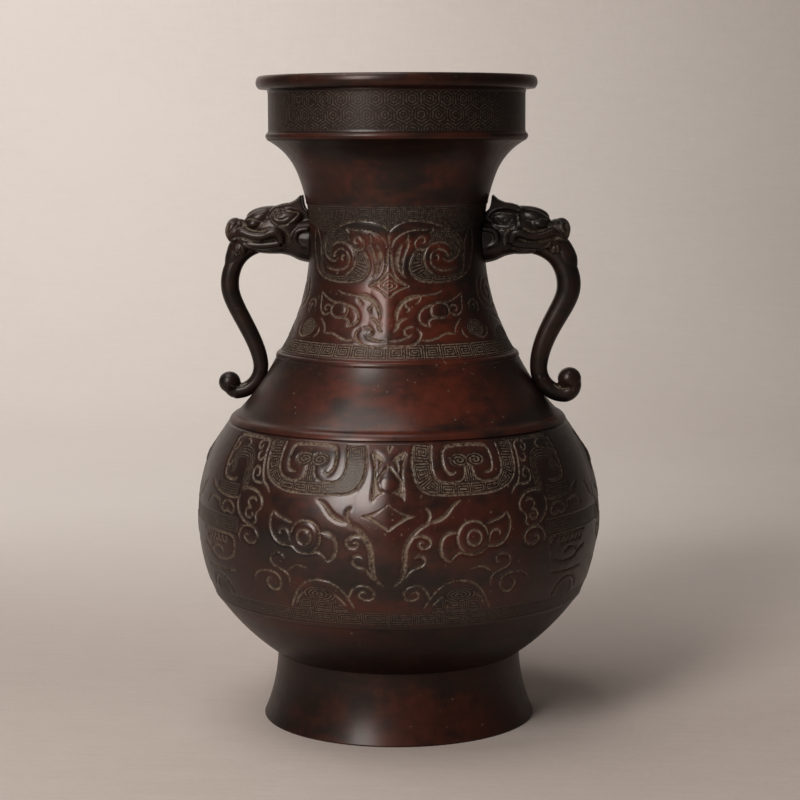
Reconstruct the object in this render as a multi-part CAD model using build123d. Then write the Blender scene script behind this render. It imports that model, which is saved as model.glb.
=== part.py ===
from build123d import *
import math
import os
from dataclasses import dataclass

# Bronze vase of the hu form, cast in sections, with two beast-head handles. Millimetres.
# The origin is the centre of the foot's underside, +Z is up, the handles lie along X
# and the front faces -Y.

# Walls and fits
WALL = 3.5
FIT_GAP = 0.1  # between a spigot, pin or tenon and its bore
SEAT_GAP = 0.15  # between a handle and the vase
SPIGOT_WALL = 2.6
PIN_RADIUS = 1.5
PIN_BITE = 1.8  # how far a pin reaches into the outer wall
PIN_COUNT = 4
PIN_TURN = 45.0  # degrees from the handles to the first pin

# Foot ring
FOOT_HEIGHT = 38.5
FOOT_BASE_RADIUS = 77.0
FOOT_TOP_RADIUS = 68.6
FOOT_HOLLOW = 2.0
FOOT_EDGE = 0.9
FOOT_EDGE_ROUND = 0.25
FOOT_SPIGOT_LENGTH = 10.0

# Base plate, riveted under a flange at the bottom of the body
PLATE_THICKNESS = 3.5
FLANGE_THICKNESS = 4.0
FLANGE_WIDTH = 10.5
RIVET_COUNT = 6
RIVET_RADIUS = 2.4
RIVET_HEAD_RADIUS = 4.0
RIVET_HEAD_HEIGHT = 1.6

# Body: plain bowl, relief band, bead and plain shoulder
BOWL_HEIGHT = 32.0
BOWL_OVERHANG = 0.9  # crease between the foot and the bowl
BOWL_SWELL = 2.0
BOWL_STEP = 0.9  # the relief band stands proud of the bowl
BELLY_RADIUS = 112.7
BELLY_ROUND = 96.0  # radius of the belly's own curve
BELLY_WIDEST = 42.8  # height of the widest line above the bowl
BAND_HEIGHT = 99.0
BEAD_HEIGHT = 4.0
BEAD_INSET = 4.2
BEAD_RISE = 0.8
SHOULDER_HEIGHT = 31.0
SHOULDER_TOP_RADIUS = 68.1
SHOULDER_HOLLOW = 1.5
BODY_MOUTH_WALL = 4.2

# Relief on the belly: masks of grooves with a keel and raised eyes. Places are shares of a mask's
# half width from its middle and of the band's height from its foot, on the right half of the mask
MASK_COUNT = 4
MASK_TURN = 2.3  # degrees from the front to the middle of the first mask
GROOVE_RADIUS = 0.75
BRANCH_RADIUS = 1.1
HORN_LINE = (
    (0.165, 0.965),
    (0.151, 0.874),
    (0.193, 0.788),
    (0.284, 0.751),
    (0.523, 0.744),
    (0.716, 0.761),
    (0.824, 0.808),
    (0.878, 0.904),
    (0.892, 0.965),
)
DIAMOND_TOP = ((0.016, 0.698), (0.057, 0.667), (0.145, 0.650))
DIAMOND_FOOT = ((0.145, 0.632), (0.074, 0.606), (0.016, 0.576))
EYELID_LINE = (
    (0.375, 0.412),
    (0.435, 0.424),
    (0.511, 0.420),
    (0.602, 0.450),
    (0.690, 0.480),
    (0.745, 0.545),
    (0.742, 0.640),
)
BRANCH_LINE = (
    (0.443, 0.716),
    (0.344, 0.641),
    (0.227, 0.603),
    (0.136, 0.530),
    (0.097, 0.429),
    (0.075, 0.310),
    (0.033, 0.274),
)
MOUTH_LINE = (
    (0.214, 0.142),
    (0.268, 0.223),
    (0.357, 0.284),
    (0.470, 0.290),
    (0.561, 0.241),
    (0.648, 0.122),
)
GROOVES = (  # line, radius
    (HORN_LINE, GROOVE_RADIUS),
    (MOUTH_LINE, GROOVE_RADIUS),
    (BRANCH_LINE, BRANCH_RADIUS),
    (EYELID_LINE, GROOVE_RADIUS),
    (DIAMOND_TOP, GROOVE_RADIUS),
    (DIAMOND_FOOT, GROOVE_RADIUS),
)
EYE_PLACE = (0.511, 0.520)
EYE_RADIUS = 8.0
EYE_RISE = 1.5
KEEL_SPAN = (0.24, 0.98)
KEEL_HALF_WIDTH = 16.0
KEEL_RISE = 1.5
RELIEF_ROOT = 1.2  # how far raised relief reaches into the wall

# Neck: ridge, relief zone, straight waist and flare
NECK_SPIGOT_LENGTH = 8.0
RIDGE_HEIGHT = 3.5
RIDGE_INSET = 2.0
RIDGE_RISE = 0.9
NECK_LOWER_HEIGHT = 58.0
NECK_LOWER_HOLLOW = 4.1
WAIST_RADIUS = 49.0
WAIST_LENGTH = 8.0
NECK_UPPER_HEIGHT = 32.0
NECK_UPPER_SPREAD = 6.1
NECK_UPPER_HOLLOW = 1.5
FLARE_HEIGHT = 19.0
FLARE_SPREAD = 17.0
FLARE_HOLLOW = 2.4

# Collar: moulding, hexagon band and lip
COLLAR_SPIGOT_LENGTH = 6.0
COLLAR_SETBACK = 0.5
COLLAR_REBATE = 0.8  # seat for the neck, cut wider than the mouth
MOULDING_HEIGHT = 4.1
MOULDING_RISE = 1.3
HEXAGON_BAND_HEIGHT = 23.4
LIP_HEIGHT = 7.5
LIP_OVERHANG = 6.4
LIP_NOSE = 2.6
LIP_UNDERCUT = 0.8
LIP_EASE = 1.5

# Handle heads; reach is measured outwards from the waist, lift from the head's centre
HEAD_LIFT = 2.0  # head's centre above the middle of the waist
HEAD_STATIONS = (  # reach, lift, half height, half width
    (-4.0, -0.3, 14.0, 9.5),
    (8.0, 2.2, 13.2, 11.0),
    (19.0, 3.5, 13.5, 12.0),
    (30.0, 2.5, 12.0, 11.0),
    (38.0, -0.5, 9.5, 9.5),
    (44.5, -0.8, 8.5, 7.5),
)
NOSE_REACH = 42.0
NOSE_LIFT = 3.3
NOSE_RADIUS = 6.0
CREST_OUTLINE = (  # reach, lift
    (18.0, 15.5),
    (11.5, 18.2),
    (7.0, 19.3),
    (3.9, 22.2),
    (3.0, 13.0),
    (12.0, 11.0),
)
CREST_THICKNESS = 4.0
CREST_SPACING = 10.0
TENON_RADIUS = 4.5
TENON_ROOT = 8.0  # how far the tenon runs back into the head
TENON_TAIL = 2.5  # metal beyond the key
KEY_RADIUS = 1.75
KEY_LENGTH = 18.0

# Handle scrolls
BEND_REACH = 20.6  # centre of the bend under the jaw
BEND_DROP = 28.5
BEND_RADIUS = 24.0
CURL_DROP = 5.5  # centre of the curl below the neck joint
CURL_RADIUS = 14.5
ROLL_RADIUS = 6.5  # the curl tightens to this before it ends in the knob
TIP_TAPER = 0.75  # rod's radius at its tip, as a share of that at the curl
KNOB_SHIFT = 2.8  # knob's centre outwards of the roll's centre
ROD_STEPS = 5  # sections along each arc of the scroll
LEFT_JAW_RADIUS = 6.2
LEFT_TOP_RADIUS = 4.6
LEFT_FOOT_RADIUS = 4.1
LEFT_KNOB_RADIUS = 6.0
RIGHT_JAW_RADIUS = 7.2
RIGHT_TOP_RADIUS = 7.1
RIGHT_FOOT_RADIUS = 5.1
RIGHT_KNOB_RADIUS = 6.7
DOWEL_RADIUS = 1.6
DOWEL_BITE = 2.2

TINY = 1e-6

# Heights of the joints and lines
foot_top = FOOT_HEIGHT
bowl_top = foot_top + BOWL_HEIGHT
band_top = bowl_top + BAND_HEIGHT
bead_top = band_top + BEAD_HEIGHT
body_top = bead_top + SHOULDER_HEIGHT
ridge_top = body_top + RIDGE_HEIGHT
waist_low = ridge_top + NECK_LOWER_HEIGHT
waist_high = waist_low + WAIST_LENGTH
flare_low = waist_high + NECK_UPPER_HEIGHT
neck_top = flare_low + FLARE_HEIGHT
moulding_top = neck_top + MOULDING_HEIGHT
hexagon_top = moulding_top + HEXAGON_BAND_HEIGHT
mouth_top = hexagon_top + LIP_HEIGHT


@dataclass(frozen=True)
class Bow:
    """Circular stretch of the vase's outline; side is 1 where it swells, -1 where it hollows."""

    centre_r: float
    centre_z: float
    radius: float
    side: int

    @classmethod
    def between(cls, low, high, swell):
        """Arc from a low point to a high one, standing swell beyond the straight line."""
        across = high[0] - low[0]
        up = high[1] - low[1]
        chord = math.hypot(across, up)
        side = 1 if swell > 0 else -1
        depth = abs(swell)
        radius = chord**2 / (8 * depth) + depth / 2
        shift = side * (radius - depth) / chord
        centre_r = (low[0] + high[0]) / 2 - shift * up
        centre_z = (low[1] + high[1]) / 2 + shift * across
        return cls(centre_r, centre_z, radius, side)

    def at(self, z):
        """Radius of the vase at a height."""
        return self.centre_r + self.side * math.sqrt(self.radius**2 - (z - self.centre_z) ** 2)

    def grown(self, depth):
        """The same stretch moved outwards by a depth, or inwards where it is negative."""
        return Bow(self.centre_r, self.centre_z, self.radius + self.side * depth, self.side)

    def arc(self, z_from, z_to):
        """The stretch as an edge between two heights."""
        heights = (z_from, (z_from + z_to) / 2, z_to)
        return ThreePointArc(*((self.at(z), 0, z) for z in heights))


def swollen(low, high, rise):
    """Small round moulding from a low point to a high one."""
    chord = math.dist(low, high)
    mid_r = (low[0] + high[0]) / 2 + rise * (high[1] - low[1]) / chord
    mid_z = (low[1] + high[1]) / 2 - rise * (high[0] - low[0]) / chord
    return ThreePointArc((low[0], 0, low[1]), (mid_r, 0, mid_z), (high[0], 0, high[1]))


def turned(*stretches):
    """Ring turned about the vase's axis; corners and arcs go round its section in order."""
    ends = []
    for stretch in stretches:
        if isinstance(stretch, tuple):
            corner = Vector(stretch[0], 0, stretch[1])
            ends.append((corner, corner))
        else:
            ends.append((stretch @ 0, stretch @ 1))
    edges = []
    for index, stretch in enumerate(stretches):
        if not isinstance(stretch, tuple):
            edges.append(stretch)
        leaves = ends[index][1]
        arrives = ends[(index + 1) % len(ends)][0]
        if (arrives - leaves).length > TINY:
            edges.append(Line(leaves, arrives))
    return revolve(make_face(edges), Axis.Z)


def radial_pins(inner, outer, z, radius):
    """Pins on spokes between two radii, evenly spaced round the vase."""
    spoke = Pos((inner + outer) / 2, 0, z) * Rot(0, 90, 0) * Cylinder(radius, outer - inner)
    turns = (PIN_TURN + 360 * number / PIN_COUNT for number in range(PIN_COUNT))
    return [Rot(0, 0, turn) * spoke for turn in turns]


# Stretches of the outline
foot = Bow.between((FOOT_BASE_RADIUS, 0), (FOOT_TOP_RADIUS, foot_top), -FOOT_HOLLOW)
belly = Bow(BELLY_RADIUS - BELLY_ROUND, bowl_top + BELLY_WIDEST, BELLY_ROUND, 1)
bowl_base = FOOT_TOP_RADIUS + BOWL_OVERHANG
bowl = Bow.between((bowl_base, foot_top), (belly.at(bowl_top) - BOWL_STEP, bowl_top), BOWL_SWELL)
shoulder_base = belly.at(band_top) - BEAD_INSET
shoulder = Bow.between((shoulder_base, bead_top), (SHOULDER_TOP_RADIUS, body_top), -SHOULDER_HOLLOW)
neck_base = SHOULDER_TOP_RADIUS - RIDGE_INSET
neck_lower = Bow.between((neck_base, ridge_top), (WAIST_RADIUS, waist_low), -NECK_LOWER_HOLLOW)
flare_base = WAIST_RADIUS + NECK_UPPER_SPREAD
neck_upper = Bow.between((WAIST_RADIUS, waist_high), (flare_base, flare_low), -NECK_UPPER_HOLLOW)
neck_top_radius = flare_base + FLARE_SPREAD
flare = Bow.between((flare_base, flare_low), (neck_top_radius, neck_top), -FLARE_HOLLOW)

# Bores and spigots
foot_bore = FOOT_TOP_RADIUS - WALL
foot_spigot = foot_bore - FIT_GAP
foot_spigot_bore = foot_spigot - SPIGOT_WALL
plate_radius = foot_spigot_bore - FIT_GAP
flange_bore = plate_radius - FLANGE_WIDTH
body_mouth = SHOULDER_TOP_RADIUS - BODY_MOUTH_WALL
neck_spigot = body_mouth - FIT_GAP
neck_spigot_bore = neck_spigot - SPIGOT_WALL
collar_radius = neck_top_radius - COLLAR_SETBACK
collar_bore = collar_radius - WALL
collar_seat = collar_bore + COLLAR_REBATE
collar_spigot = collar_seat - FIT_GAP
collar_spigot_bore = collar_spigot - SPIGOT_WALL
lip_nose_root = collar_radius + LIP_OVERHANG - LIP_NOSE
waist_bore = WAIST_RADIUS - WALL
keel_fall = -(KEEL_HALF_WIDTH**2) / (2 * BELLY_RADIUS)  # level where the keel's edge meets the belly

# Heights of the pins
foot_pin_z = foot_top - (PLATE_THICKNESS + FOOT_SPIGOT_LENGTH) / 2
neck_pin_z = body_top - NECK_SPIGOT_LENGTH / 2
collar_pin_z = neck_top + COLLAR_SPIGOT_LENGTH / 2

# Handle layout in the XZ plane
head_z = waist_low + WAIST_LENGTH / 2 + HEAD_LIFT
key_x = waist_bore - KEY_RADIUS - FIT_GAP
bend_x = WAIST_RADIUS + BEND_REACH
bend_z = head_z - BEND_DROP
curl_z = body_top - CURL_DROP
roll_z = curl_z - CURL_RADIUS + ROLL_RADIUS


def neck_outside(offset):
    """Outer stretches of the neck from its ridge to its top, moved outwards by an offset."""
    ridge_foot = (SHOULDER_TOP_RADIUS + offset, body_top)
    ridge_head = (neck_lower.grown(offset).at(ridge_top), ridge_top)
    return (
        swollen(ridge_foot, ridge_head, RIDGE_RISE),
        neck_lower.grown(offset).arc(ridge_top, waist_low),
        neck_upper.grown(offset).arc(waist_high, flare_low),
        flare.grown(offset).arc(flare_low, neck_top),
    )


def make_foot_ring():
    """Flared foot with a straight bore at its top for the body's spigot."""
    seat_low = foot_top - FOOT_SPIGOT_LENGTH
    inside = foot.grown(-WALL)
    ring = turned(
        swollen((FOOT_BASE_RADIUS - FOOT_EDGE, 0), (foot.at(FOOT_EDGE), FOOT_EDGE), FOOT_EDGE_ROUND),
        foot.arc(FOOT_EDGE, foot_top),
        (foot_bore, foot_top),
        (foot_bore, seat_low),
        inside.arc(seat_low, 0),
    )
    return ring - foot_pins(PIN_RADIUS + FIT_GAP)


def foot_pins(radius):
    """Pins through the body's lower spigot into the foot, of a given radius."""
    return radial_pins(foot_spigot_bore, foot_bore + PIN_BITE, foot_pin_z, radius)


def rivet_places():
    """Turns round the axis for the base plate's rivets."""
    circle = (flange_bore + plate_radius) / 2
    turns = (360 * number / RIVET_COUNT for number in range(RIVET_COUNT))
    return [Rot(0, 0, turn) * Pos(circle, 0, 0) for turn in turns]


def rivet_holes():
    """Holes for the rivets through the plate and the flange."""
    grip = PLATE_THICKNESS + FLANGE_THICKNESS
    low = foot_top - PLATE_THICKNESS
    hole = Pos(0, 0, low + grip / 2) * Cylinder(RIVET_RADIUS + FIT_GAP, grip)
    return [place * hole for place in rivet_places()]


def make_base_plate():
    """Disc that closes the vessel, seated under the flange."""
    low = foot_top - PLATE_THICKNESS
    disc = turned((0.0, low), (plate_radius, low), (plate_radius, foot_top), (0.0, foot_top))
    return disc - rivet_holes()


def make_rivets():
    """Rivets with a head under the plate and one over the flange."""
    low = foot_top - PLATE_THICKNESS
    high = foot_top + FLANGE_THICKNESS
    crown = RIVET_HEAD_RADIUS / 2
    rivet = turned(
        (0.0, low - RIVET_HEAD_HEIGHT),
        (crown, low - RIVET_HEAD_HEIGHT),
        (RIVET_HEAD_RADIUS, low),
        (RIVET_RADIUS, low),
        (RIVET_RADIUS, high),
        (RIVET_HEAD_RADIUS, high),
        (crown, high + RIVET_HEAD_HEIGHT),
        (0.0, high + RIVET_HEAD_HEIGHT),
    )
    return [place * rivet for place in rivet_places()]


def keel_lift(across, up):
    """Height of the keel over the plain belly at a place of the mask."""
    x = abs(across) * math.pi / MASK_COUNT * BELLY_RADIUS
    if x > KEEL_HALF_WIDTH:
        return 0
    low, high = KEEL_SPAN
    end_share = (2 * up - low - high) / (high - low)
    slope = (KEEL_RISE - keel_fall) / KEEL_HALF_WIDTH
    lift = KEEL_RISE * (1 - end_share**2) - slope * x + x**2 / (2 * BELLY_RADIUS)
    return max(lift, 0)


def on_belly(across, up):
    """Point of the belly, from shares of a mask's half width and of the band's height."""
    z = bowl_top + up * BAND_HEIGHT
    turn = math.radians(MASK_TURN + across * 180 / MASK_COUNT)
    radius = belly.at(z) + keel_lift(across, up)
    return Vector(radius * math.sin(turn), -radius * math.cos(turn), z)


def make_groove(line, radius, side):
    """Round cutter along a smooth line over the belly; side is -1 on the left half of a mask."""
    path = Spline(*(on_belly(side * across, up) for across, up in line))
    sections = []
    for number in range(len(line)):
        share = number / (len(line) - 1)
        place = path @ share
        out = Vector(place.X, place.Y, 0).normalized()
        sections.append(Plane(place, x_dir=out, z_dir=path % share) * Circle(radius))
    return loft(sections)


def make_eye(side):
    """Raised eye of a mask, domed and rooted in the wall."""
    across, up = EYE_PLACE
    centre = on_belly(side * across, up)
    lean = math.asin((centre.Z - belly.centre_z) / belly.radius)
    level = Vector(centre.X, centre.Y, 0).normalized()
    out = level * math.cos(lean) + Vector(0, 0, math.sin(lean))
    edge = -(EYE_RADIUS**2) / (2 * belly.radius)
    height = EYE_RISE - edge
    chord = math.hypot(EYE_RADIUS, height)
    round_radius = chord**2 / (2 * height)
    swell = round_radius - math.sqrt(round_radius**2 - chord**2 / 4)
    dome = turned(
        (0.0, edge - RELIEF_ROOT),
        (EYE_RADIUS, edge - RELIEF_ROOT),
        swollen((EYE_RADIUS, edge), (0.0, EYE_RISE), swell),
    )
    return Plane(centre, z_dir=out) * dome


def make_keel():
    """Blunt ridge down the middle of a mask that runs out into the belly at both ends."""
    heights = [bowl_top + share * BAND_HEIGHT for share in KEEL_SPAN]
    heights.insert(1, sum(heights) / 2)
    sink = (KEEL_RISE, 0, KEEL_RISE)
    spine = ThreePointArc(*((0, depth - belly.at(z), z) for z, depth in zip(heights, sink)))
    floor = keel_fall - RELIEF_ROOT / 2
    section = Polyline(
        (0, KEEL_RISE),
        (KEEL_HALF_WIDTH, keel_fall),
        (KEEL_HALF_WIDTH, floor),
        (-KEEL_HALF_WIDTH, floor),
        (-KEEL_HALF_WIDTH, keel_fall),
        close=True,
    )
    start = Plane(spine @ 0, x_dir=(-1, 0, 0), z_dir=spine % 0)
    ridge = sweep(start * make_face(section), spine)
    return Rot(0, 0, MASK_TURN) * ridge


def round_the_belly(shapes):
    """Copies of one mask's shapes for every mask."""
    turns = [360 * number / MASK_COUNT for number in range(MASK_COUNT)]
    return [Rot(0, 0, turn) * shape for turn in turns for shape in shapes]


def mask_grooves():
    """Cutters for the grooves of every mask, one group for each kind of line."""
    groups = []
    for line, radius in GROOVES:
        groups.append(round_the_belly([make_groove(line, radius, side) for side in (-1, 1)]))
    return groups


def raised_relief():
    """Keel and eyes of every mask."""
    return round_the_belly([make_keel(), make_eye(-1), make_eye(1)])


def make_vessel_body():
    """Belly and shoulder in one wall, with a flange and spigot below and a bored mouth above."""
    spigot_low = foot_top - FOOT_SPIGOT_LENGTH
    flange_top = foot_top + FLANGE_THICKNESS
    mouth_low = body_top - NECK_SPIGOT_LENGTH
    body = turned(
        (foot_spigot, spigot_low),
        (foot_spigot, foot_top),
        bowl.arc(foot_top, bowl_top),
        belly.arc(bowl_top, band_top),
        swollen((belly.at(band_top), band_top), (shoulder_base, bead_top), BEAD_RISE),
        shoulder.arc(bead_top, body_top),
        (body_mouth, body_top),
        (body_mouth, mouth_low),
        shoulder.grown(-WALL).arc(mouth_low, bead_top),
        belly.grown(-WALL).arc(band_top, bowl_top),
        bowl.grown(-WALL).arc(bowl_top, flange_top),
        (flange_bore, flange_top),
        (flange_bore, foot_top),
        (foot_spigot_bore, foot_top),
        (foot_spigot_bore, spigot_low),
    )
    body += raised_relief()
    for cutters in mask_grooves():
        body -= cutters
    body -= rivet_holes()
    body -= foot_pins(PIN_RADIUS + FIT_GAP)
    body -= neck_pins(PIN_RADIUS + FIT_GAP)
    for side in SIDES:
        body -= side.turn * side.dowel(DOWEL_RADIUS + FIT_GAP)
    return body


def neck_pins(radius):
    """Pins through the neck's spigot into the body's mouth, of a given radius."""
    return radial_pins(neck_spigot_bore, body_mouth + PIN_BITE, neck_pin_z, radius)


def make_neck():
    """Waisted neck with a spigot at each end and a hole for each handle's tenon."""
    neck = turned(
        (neck_spigot, body_top - NECK_SPIGOT_LENGTH),
        (neck_spigot, body_top),
        *neck_outside(0.0),
        (collar_spigot, neck_top),
        (collar_spigot, neck_top + COLLAR_SPIGOT_LENGTH),
        (collar_spigot_bore, neck_top + COLLAR_SPIGOT_LENGTH),
        flare.grown(-WALL).arc(neck_top, flare_low),
        neck_upper.grown(-WALL).arc(flare_low, waist_high),
        neck_lower.grown(-WALL).arc(waist_low, ridge_top),
        (neck_spigot_bore, body_top),
        (neck_spigot_bore, body_top - NECK_SPIGOT_LENGTH),
    )
    bore_length = 2 * (WAIST_RADIUS + WALL)
    neck -= Pos(0, 0, head_z) * Rot(0, 90, 0) * Cylinder(TENON_RADIUS + FIT_GAP, bore_length)
    neck -= neck_pins(PIN_RADIUS + FIT_GAP)
    neck -= collar_pins(PIN_RADIUS + FIT_GAP)
    return neck


def collar_pins(radius):
    """Pins through the neck's upper spigot into the collar, of a given radius."""
    return radial_pins(collar_spigot_bore, collar_seat + PIN_BITE, collar_pin_z, radius)


def make_mouth_collar():
    """Straight collar with a moulding below, a band for the hexagons and a rounded lip."""
    lip_low = hexagon_top + LIP_UNDERCUT
    lip_radius = lip_nose_root + LIP_NOSE
    lip_middle = (lip_low + mouth_top) / 2
    seat_top = neck_top + COLLAR_SPIGOT_LENGTH
    nose_points = ((lip_nose_root, lip_low), (lip_radius, lip_middle), (lip_nose_root, mouth_top))
    nose = ThreePointArc(*((r, 0, z) for r, z in nose_points))
    collar = turned(
        (collar_bore, seat_top),
        (collar_seat, seat_top),
        (collar_seat, neck_top),
        swollen((collar_radius, neck_top), (collar_radius, moulding_top), MOULDING_RISE),
        (collar_radius, hexagon_top),
        nose,
        (collar_bore + LIP_EASE, mouth_top),
        (collar_bore, mouth_top - LIP_EASE),
    )
    return collar - collar_pins(PIN_RADIUS + FIT_GAP)


def make_rod(edges, radii):
    """Round rod along a chain of edges; radii are those at the chain's joints."""
    sections = []
    for edge, start_radius, end_radius in zip(edges, radii, radii[1:]):
        for step in range(ROD_STEPS):
            share = step / ROD_STEPS
            plane = Plane(edge @ share, x_dir=(0, 1, 0), z_dir=edge % share)
            sections.append(plane * Circle(start_radius + share * (end_radius - start_radius)))
    last = edges[-1]
    sections.append(Plane(last @ 1, x_dir=(0, 1, 0), z_dir=last % 1) * Circle(radii[-1]))
    return loft(sections)


def round_edge(centre_x, centre_z, radius, start, end):
    """Arc in the XZ plane between two angles in degrees, measured from +X towards +Z."""
    points = []
    for degrees in (start, (start + end) / 2, end):
        angle = math.radians(degrees)
        points.append((centre_x + radius * math.cos(angle), 0, centre_z + radius * math.sin(angle)))
    return ThreePointArc(*points)


@dataclass(frozen=True)
class HandleSide:
    """One handle, laid out on the +X side and then turned to its own side."""

    name: str
    degrees: float
    jaw_radius: float
    top_radius: float
    foot_radius: float
    knob_radius: float

    @property
    def turn(self):
        """Turn from the +X side to this handle's side."""
        return Rot(0, 0, self.degrees)

    @property
    def curl_x(self):
        """Centre of the curl, whose rod lies against the shoulder."""
        span = shoulder.radius - (CURL_RADIUS + self.foot_radius + SEAT_GAP)
        return shoulder.centre_r - math.sqrt(span**2 - (shoulder.centre_z - curl_z) ** 2)

    def rod(self, gap):
        """Rod that leaves the jaws, sweeps in to the shoulder and curls, widened by a gap."""
        bend = round_edge(bend_x, bend_z, BEND_RADIUS, 90, 0)
        curl = round_edge(self.curl_x, curl_z, CURL_RADIUS, 180, 270)
        roll = round_edge(self.curl_x, roll_z, ROLL_RADIUS, 270, 360)
        middle = ((bend @ 1) + (curl @ 0)) / 2
        sweep_out = TangentArc(bend @ 1, middle, tangent=(0, 0, -1))
        sweep_in = TangentArc(middle, curl @ 0, tangent=sweep_out % 1)
        middle_radius = (self.top_radius + self.foot_radius) / 2
        foot_radius = self.foot_radius
        tip_radius = foot_radius * TIP_TAPER
        radii = (self.jaw_radius, self.top_radius, middle_radius, foot_radius, foot_radius, tip_radius)
        return make_rod([bend, sweep_out, sweep_in, curl, roll], [radius + gap for radius in radii])

    def dowel(self, radius):
        """Dowel from the middle of the curl's rod into the shoulder's wall."""
        towards = Vector(self.curl_x - shoulder.centre_r, 0, curl_z - shoulder.centre_z).normalized()
        start = Vector(self.curl_x, 0, curl_z) + towards * CURL_RADIUS
        length = self.foot_radius + SEAT_GAP + DOWEL_BITE
        return Plane(start + towards * (length / 2), z_dir=towards) * Cylinder(radius, length)

    def scroll(self):
        """The rod with the knob that its curl rolls up into, bored for its dowel."""
        knob = Pos(self.curl_x + KNOB_SHIFT, 0, roll_z) * Sphere(self.knob_radius)
        scroll = self.rod(0.0) + knob
        return scroll - self.dowel(DOWEL_RADIUS + FIT_GAP)

    def head(self):
        """Beast's head with nose and crests, a root that fits the neck and a tenon through it."""
        sections = []
        for reach, lift, half_height, half_width in HEAD_STATIONS:
            plane = Plane((WAIST_RADIUS + reach, 0, head_z + lift), x_dir=(0, 1, 0), z_dir=(1, 0, 0))
            sections.append(plane * Ellipse(half_width, half_height))
        head = loft(sections)
        head += Pos(WAIST_RADIUS + NOSE_REACH, 0, head_z + NOSE_LIFT) * Sphere(NOSE_RADIUS)
        corners = [(WAIST_RADIUS + reach, 0, head_z + lift) for reach, lift in CREST_OUTLINE]
        blade = extrude(make_face(Polyline(*corners, close=True)), CREST_THICKNESS / 2, both=True)
        for offset in (-CREST_SPACING / 2, CREST_SPACING / 2):
            head += Pos(0, offset, 0) * blade
        head -= turned((0.0, body_top), *neck_outside(SEAT_GAP), (0.0, neck_top))
        tenon_start = key_x - KEY_RADIUS - TENON_TAIL
        tenon_length = WAIST_RADIUS + TENON_ROOT - tenon_start
        tenon = Rot(0, 90, 0) * Cylinder(TENON_RADIUS, tenon_length)
        head += Pos(tenon_start + tenon_length / 2, 0, head_z) * tenon
        head -= self.rod(FIT_GAP)
        return head - self.key(KEY_RADIUS + FIT_GAP)

    def key(self, radius):
        """Upright pin through the tenon, just inside the neck's wall."""
        return Pos(key_x, 0, head_z) * Cylinder(radius, KEY_LENGTH)


SIDES = (
    HandleSide("left", 180, LEFT_JAW_RADIUS, LEFT_TOP_RADIUS, LEFT_FOOT_RADIUS, LEFT_KNOB_RADIUS),
    HandleSide("right", 0, RIGHT_JAW_RADIUS, RIGHT_TOP_RADIUS, RIGHT_FOOT_RADIUS, RIGHT_KNOB_RADIUS),
)


def main():
    """Builds every piece and writes it under its name."""
    pieces = {
        "foot_ring": make_foot_ring(),
        "foot_pins": Compound(foot_pins(PIN_RADIUS)),
        "base_plate": make_base_plate(),
        "base_plate_rivets": Compound(make_rivets()),
        "vessel_body": make_vessel_body(),
        "neck": make_neck(),
        "neck_pins": Compound(neck_pins(PIN_RADIUS)),
        "mouth_collar": make_mouth_collar(),
        "collar_pins": Compound(collar_pins(PIN_RADIUS)),
        "handle_keys": Compound([side.turn * side.key(KEY_RADIUS) for side in SIDES]),
        "scroll_dowels": Compound([side.turn * side.dowel(DOWEL_RADIUS) for side in SIDES]),
    }
    for side in SIDES:
        pieces[f"{side.name}_handle_head"] = side.turn * side.head()
        pieces[f"{side.name}_handle_scroll"] = side.turn * side.scroll()
    os.makedirs("parts", exist_ok=True)
    for name, piece in pieces.items():
        export_step(piece, f"parts/{name}.step")


main()
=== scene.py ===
"""Bronze hu vessel: cast mask relief, a hexagon collar and two beast-head handles.

Sizes in the classes are millimetres. Meshes are made in metres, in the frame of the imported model.
"""

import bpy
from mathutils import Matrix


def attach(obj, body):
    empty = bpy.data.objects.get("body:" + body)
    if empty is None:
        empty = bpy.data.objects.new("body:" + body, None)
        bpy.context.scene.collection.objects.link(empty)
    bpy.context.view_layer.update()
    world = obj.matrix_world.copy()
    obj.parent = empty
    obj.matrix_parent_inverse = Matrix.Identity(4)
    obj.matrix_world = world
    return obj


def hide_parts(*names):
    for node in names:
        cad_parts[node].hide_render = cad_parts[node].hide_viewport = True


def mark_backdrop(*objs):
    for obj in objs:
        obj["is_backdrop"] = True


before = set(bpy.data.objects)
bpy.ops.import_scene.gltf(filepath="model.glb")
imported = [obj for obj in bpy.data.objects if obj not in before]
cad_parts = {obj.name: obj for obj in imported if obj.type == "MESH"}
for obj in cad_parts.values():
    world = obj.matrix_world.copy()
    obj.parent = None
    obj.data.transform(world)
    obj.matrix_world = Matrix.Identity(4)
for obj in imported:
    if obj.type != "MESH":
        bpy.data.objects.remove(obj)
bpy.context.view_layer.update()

import logging
import math
from dataclasses import dataclass
from enum import Enum
from typing import Callable, Optional, Sequence, Union

import bpy
import numpy as np
from mathutils import Matrix, Vector

LOG = logging.getLogger("hu_vessel")
MM = 0.001
WELD = 1e-6
BODY = "root"
WARM_LIGHT = (1.0, 0.96, 0.92)
Point = tuple[float, float]
Colour = tuple[float, float, float]


class Slot(Enum):
    """Material slots of the record."""

    PATINA = "patinated_bronze"
    DARK = "dark_bronze"
    RAW = "raw_bronze"


class Panel(Enum):
    """Carved panel behind the brow of a beast's head."""

    TEARDROP = "teardrop"
    BLOCK = "block"


# Shader building


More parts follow.
